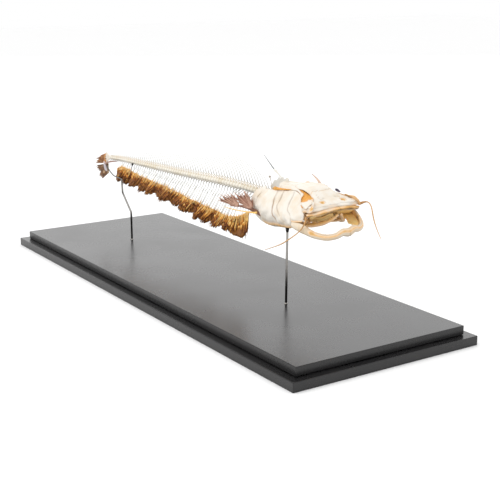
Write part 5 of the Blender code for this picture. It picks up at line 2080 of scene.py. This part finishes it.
# %% Make the remains on the head
eye = bar(16, 24)
x, y, t = spots_of(eye)
put(eye, at(x * (1 + 0.1 * np.sin(31 * t)), y * (1 + 0.12 * np.sin(23 * t + 3 * x)), t))
bend(
    eye, curve((201, 16.4, 17.9), (203, 17.4, 16.9), (206, 19, 15.2)),
    sized((0, 0.4, 0.3), (0.15, 1.0, 0.8), (0.5, 1.5, 1.2), (0.85, 1.1, 0.8), (1, 0.4, 0.3)),
)
hand_in("dried_eye", eye, tissue["dried_eye"], ("eye_left",), where=HEAD)
sliver = bend(
    bar(8, 24), curve((185.5, 11.5, 19.8), (177, 13, 24), (167, 14, 27.6)),
    sized((0, 1.5, 1.2), (0.6, 0.9, 0.8), (1, 0.45, 0.4)),
)
hand_in("bone_sliver", sliver, tissue["pinkish_horn"], ("skull_splint",), where=HEAD)
flakes = new_shape()
for k in range(5):
    x = 180 + 2.9 * k + dice.random()
    tip = (x - 1.8 + dice.normal(0, 0.6), 14.6, 20.0 + 1.2 * dice.random())
    flake = bend(
        bar(6, 4), curve((x, 13.4, 17.6), (x - 0.8, 14.2, 19.2), tip),
        sized((0, 1.3, 0.4), (0.6, 1.0, 0.3), (1, 0.2, 0.1)), SIDEWAYS,
    )
    note(flake, tone=0.4 + 0.5 * dice.random())
    join(flakes, flake)
hand_in("skin_flakes", flakes, tissue["mauve_skin"], where=HEAD)

# %% [markdown]
# ## Ties and sleeves
# A strip of sinew hangs at the tail, a wound wire ties the fin, a sleeve of skin sits on the wire, and
# the front rod ends in a small saddle under the shoulders. They could be curves. All are bars
# again, because one shape that is well understood serves them all.

# %% Make the ties and sleeves
sinew = bend(
    bar(10, 40), curve((-266, -2.6, 105), (-248, -3.8, 110), (-226, -4.2, 113.8)),
    sized((0, 1.6, 1.0), (0.3, 1.1, 0.8), (0.7, 0.9, 0.7), (1, 0.4, 0.4)), SIDEWAYS,
)
hand_in("tail_strip", sinew, tissue["dried_sinew"], ("tail_sinew",))
tie = bend(
    bar(10, 30),
    curve((-184, -3.2, 117.0), (-185.4, -3.8, 114.6), (-187.4, -3.5, 111), (-190.4, -3.4, 106)),
    sized((0, 0.7, 0.6), (0.2, 1.7, 1.2), (0.45, 0.6, 0.5), (1, 0.4, 0.4)), SIDEWAYS,
)
hand_in("wire_tie", tie, dark_steel, ("fin_tie",))
sleeve = bend(
    bar(12, 30), curve((-259.5, -3.4, 96.0), (-265, -3.2, 100.0), (-269.5, -2.6, 107)),
    sized((0, 0.6, 0.5), (0.2, 2.2, 0.8), (0.8, 2.6, 0.8), (1, 1.4, 0.5)), SIDEWAYS,
)
hand_in("wire_sleeve", sleeve, tissue["mauve_skin"])
saddle = bend(
    bar(20, 12), curve((148.5, -1.6, 95.0), (148.6, -1.6, 97.6), (148.8, -1.6, 101.0)),
    sized((0, 1.4, 1.4), (0.3, 1.7, 1.7), (0.7, 2.2, 2.0), (1, 3.2, 2.4)), SIDEWAYS,
)
hand_in("rod_saddle", saddle, dark_steel)

# %% [markdown]
# ## Counting the pieces
# The last cell counts the pieces and their faces.

# %% Count the pieces
print("pieces:", len(pieces), "faces:", sum(len(piece.data.polygons) for piece in pieces))
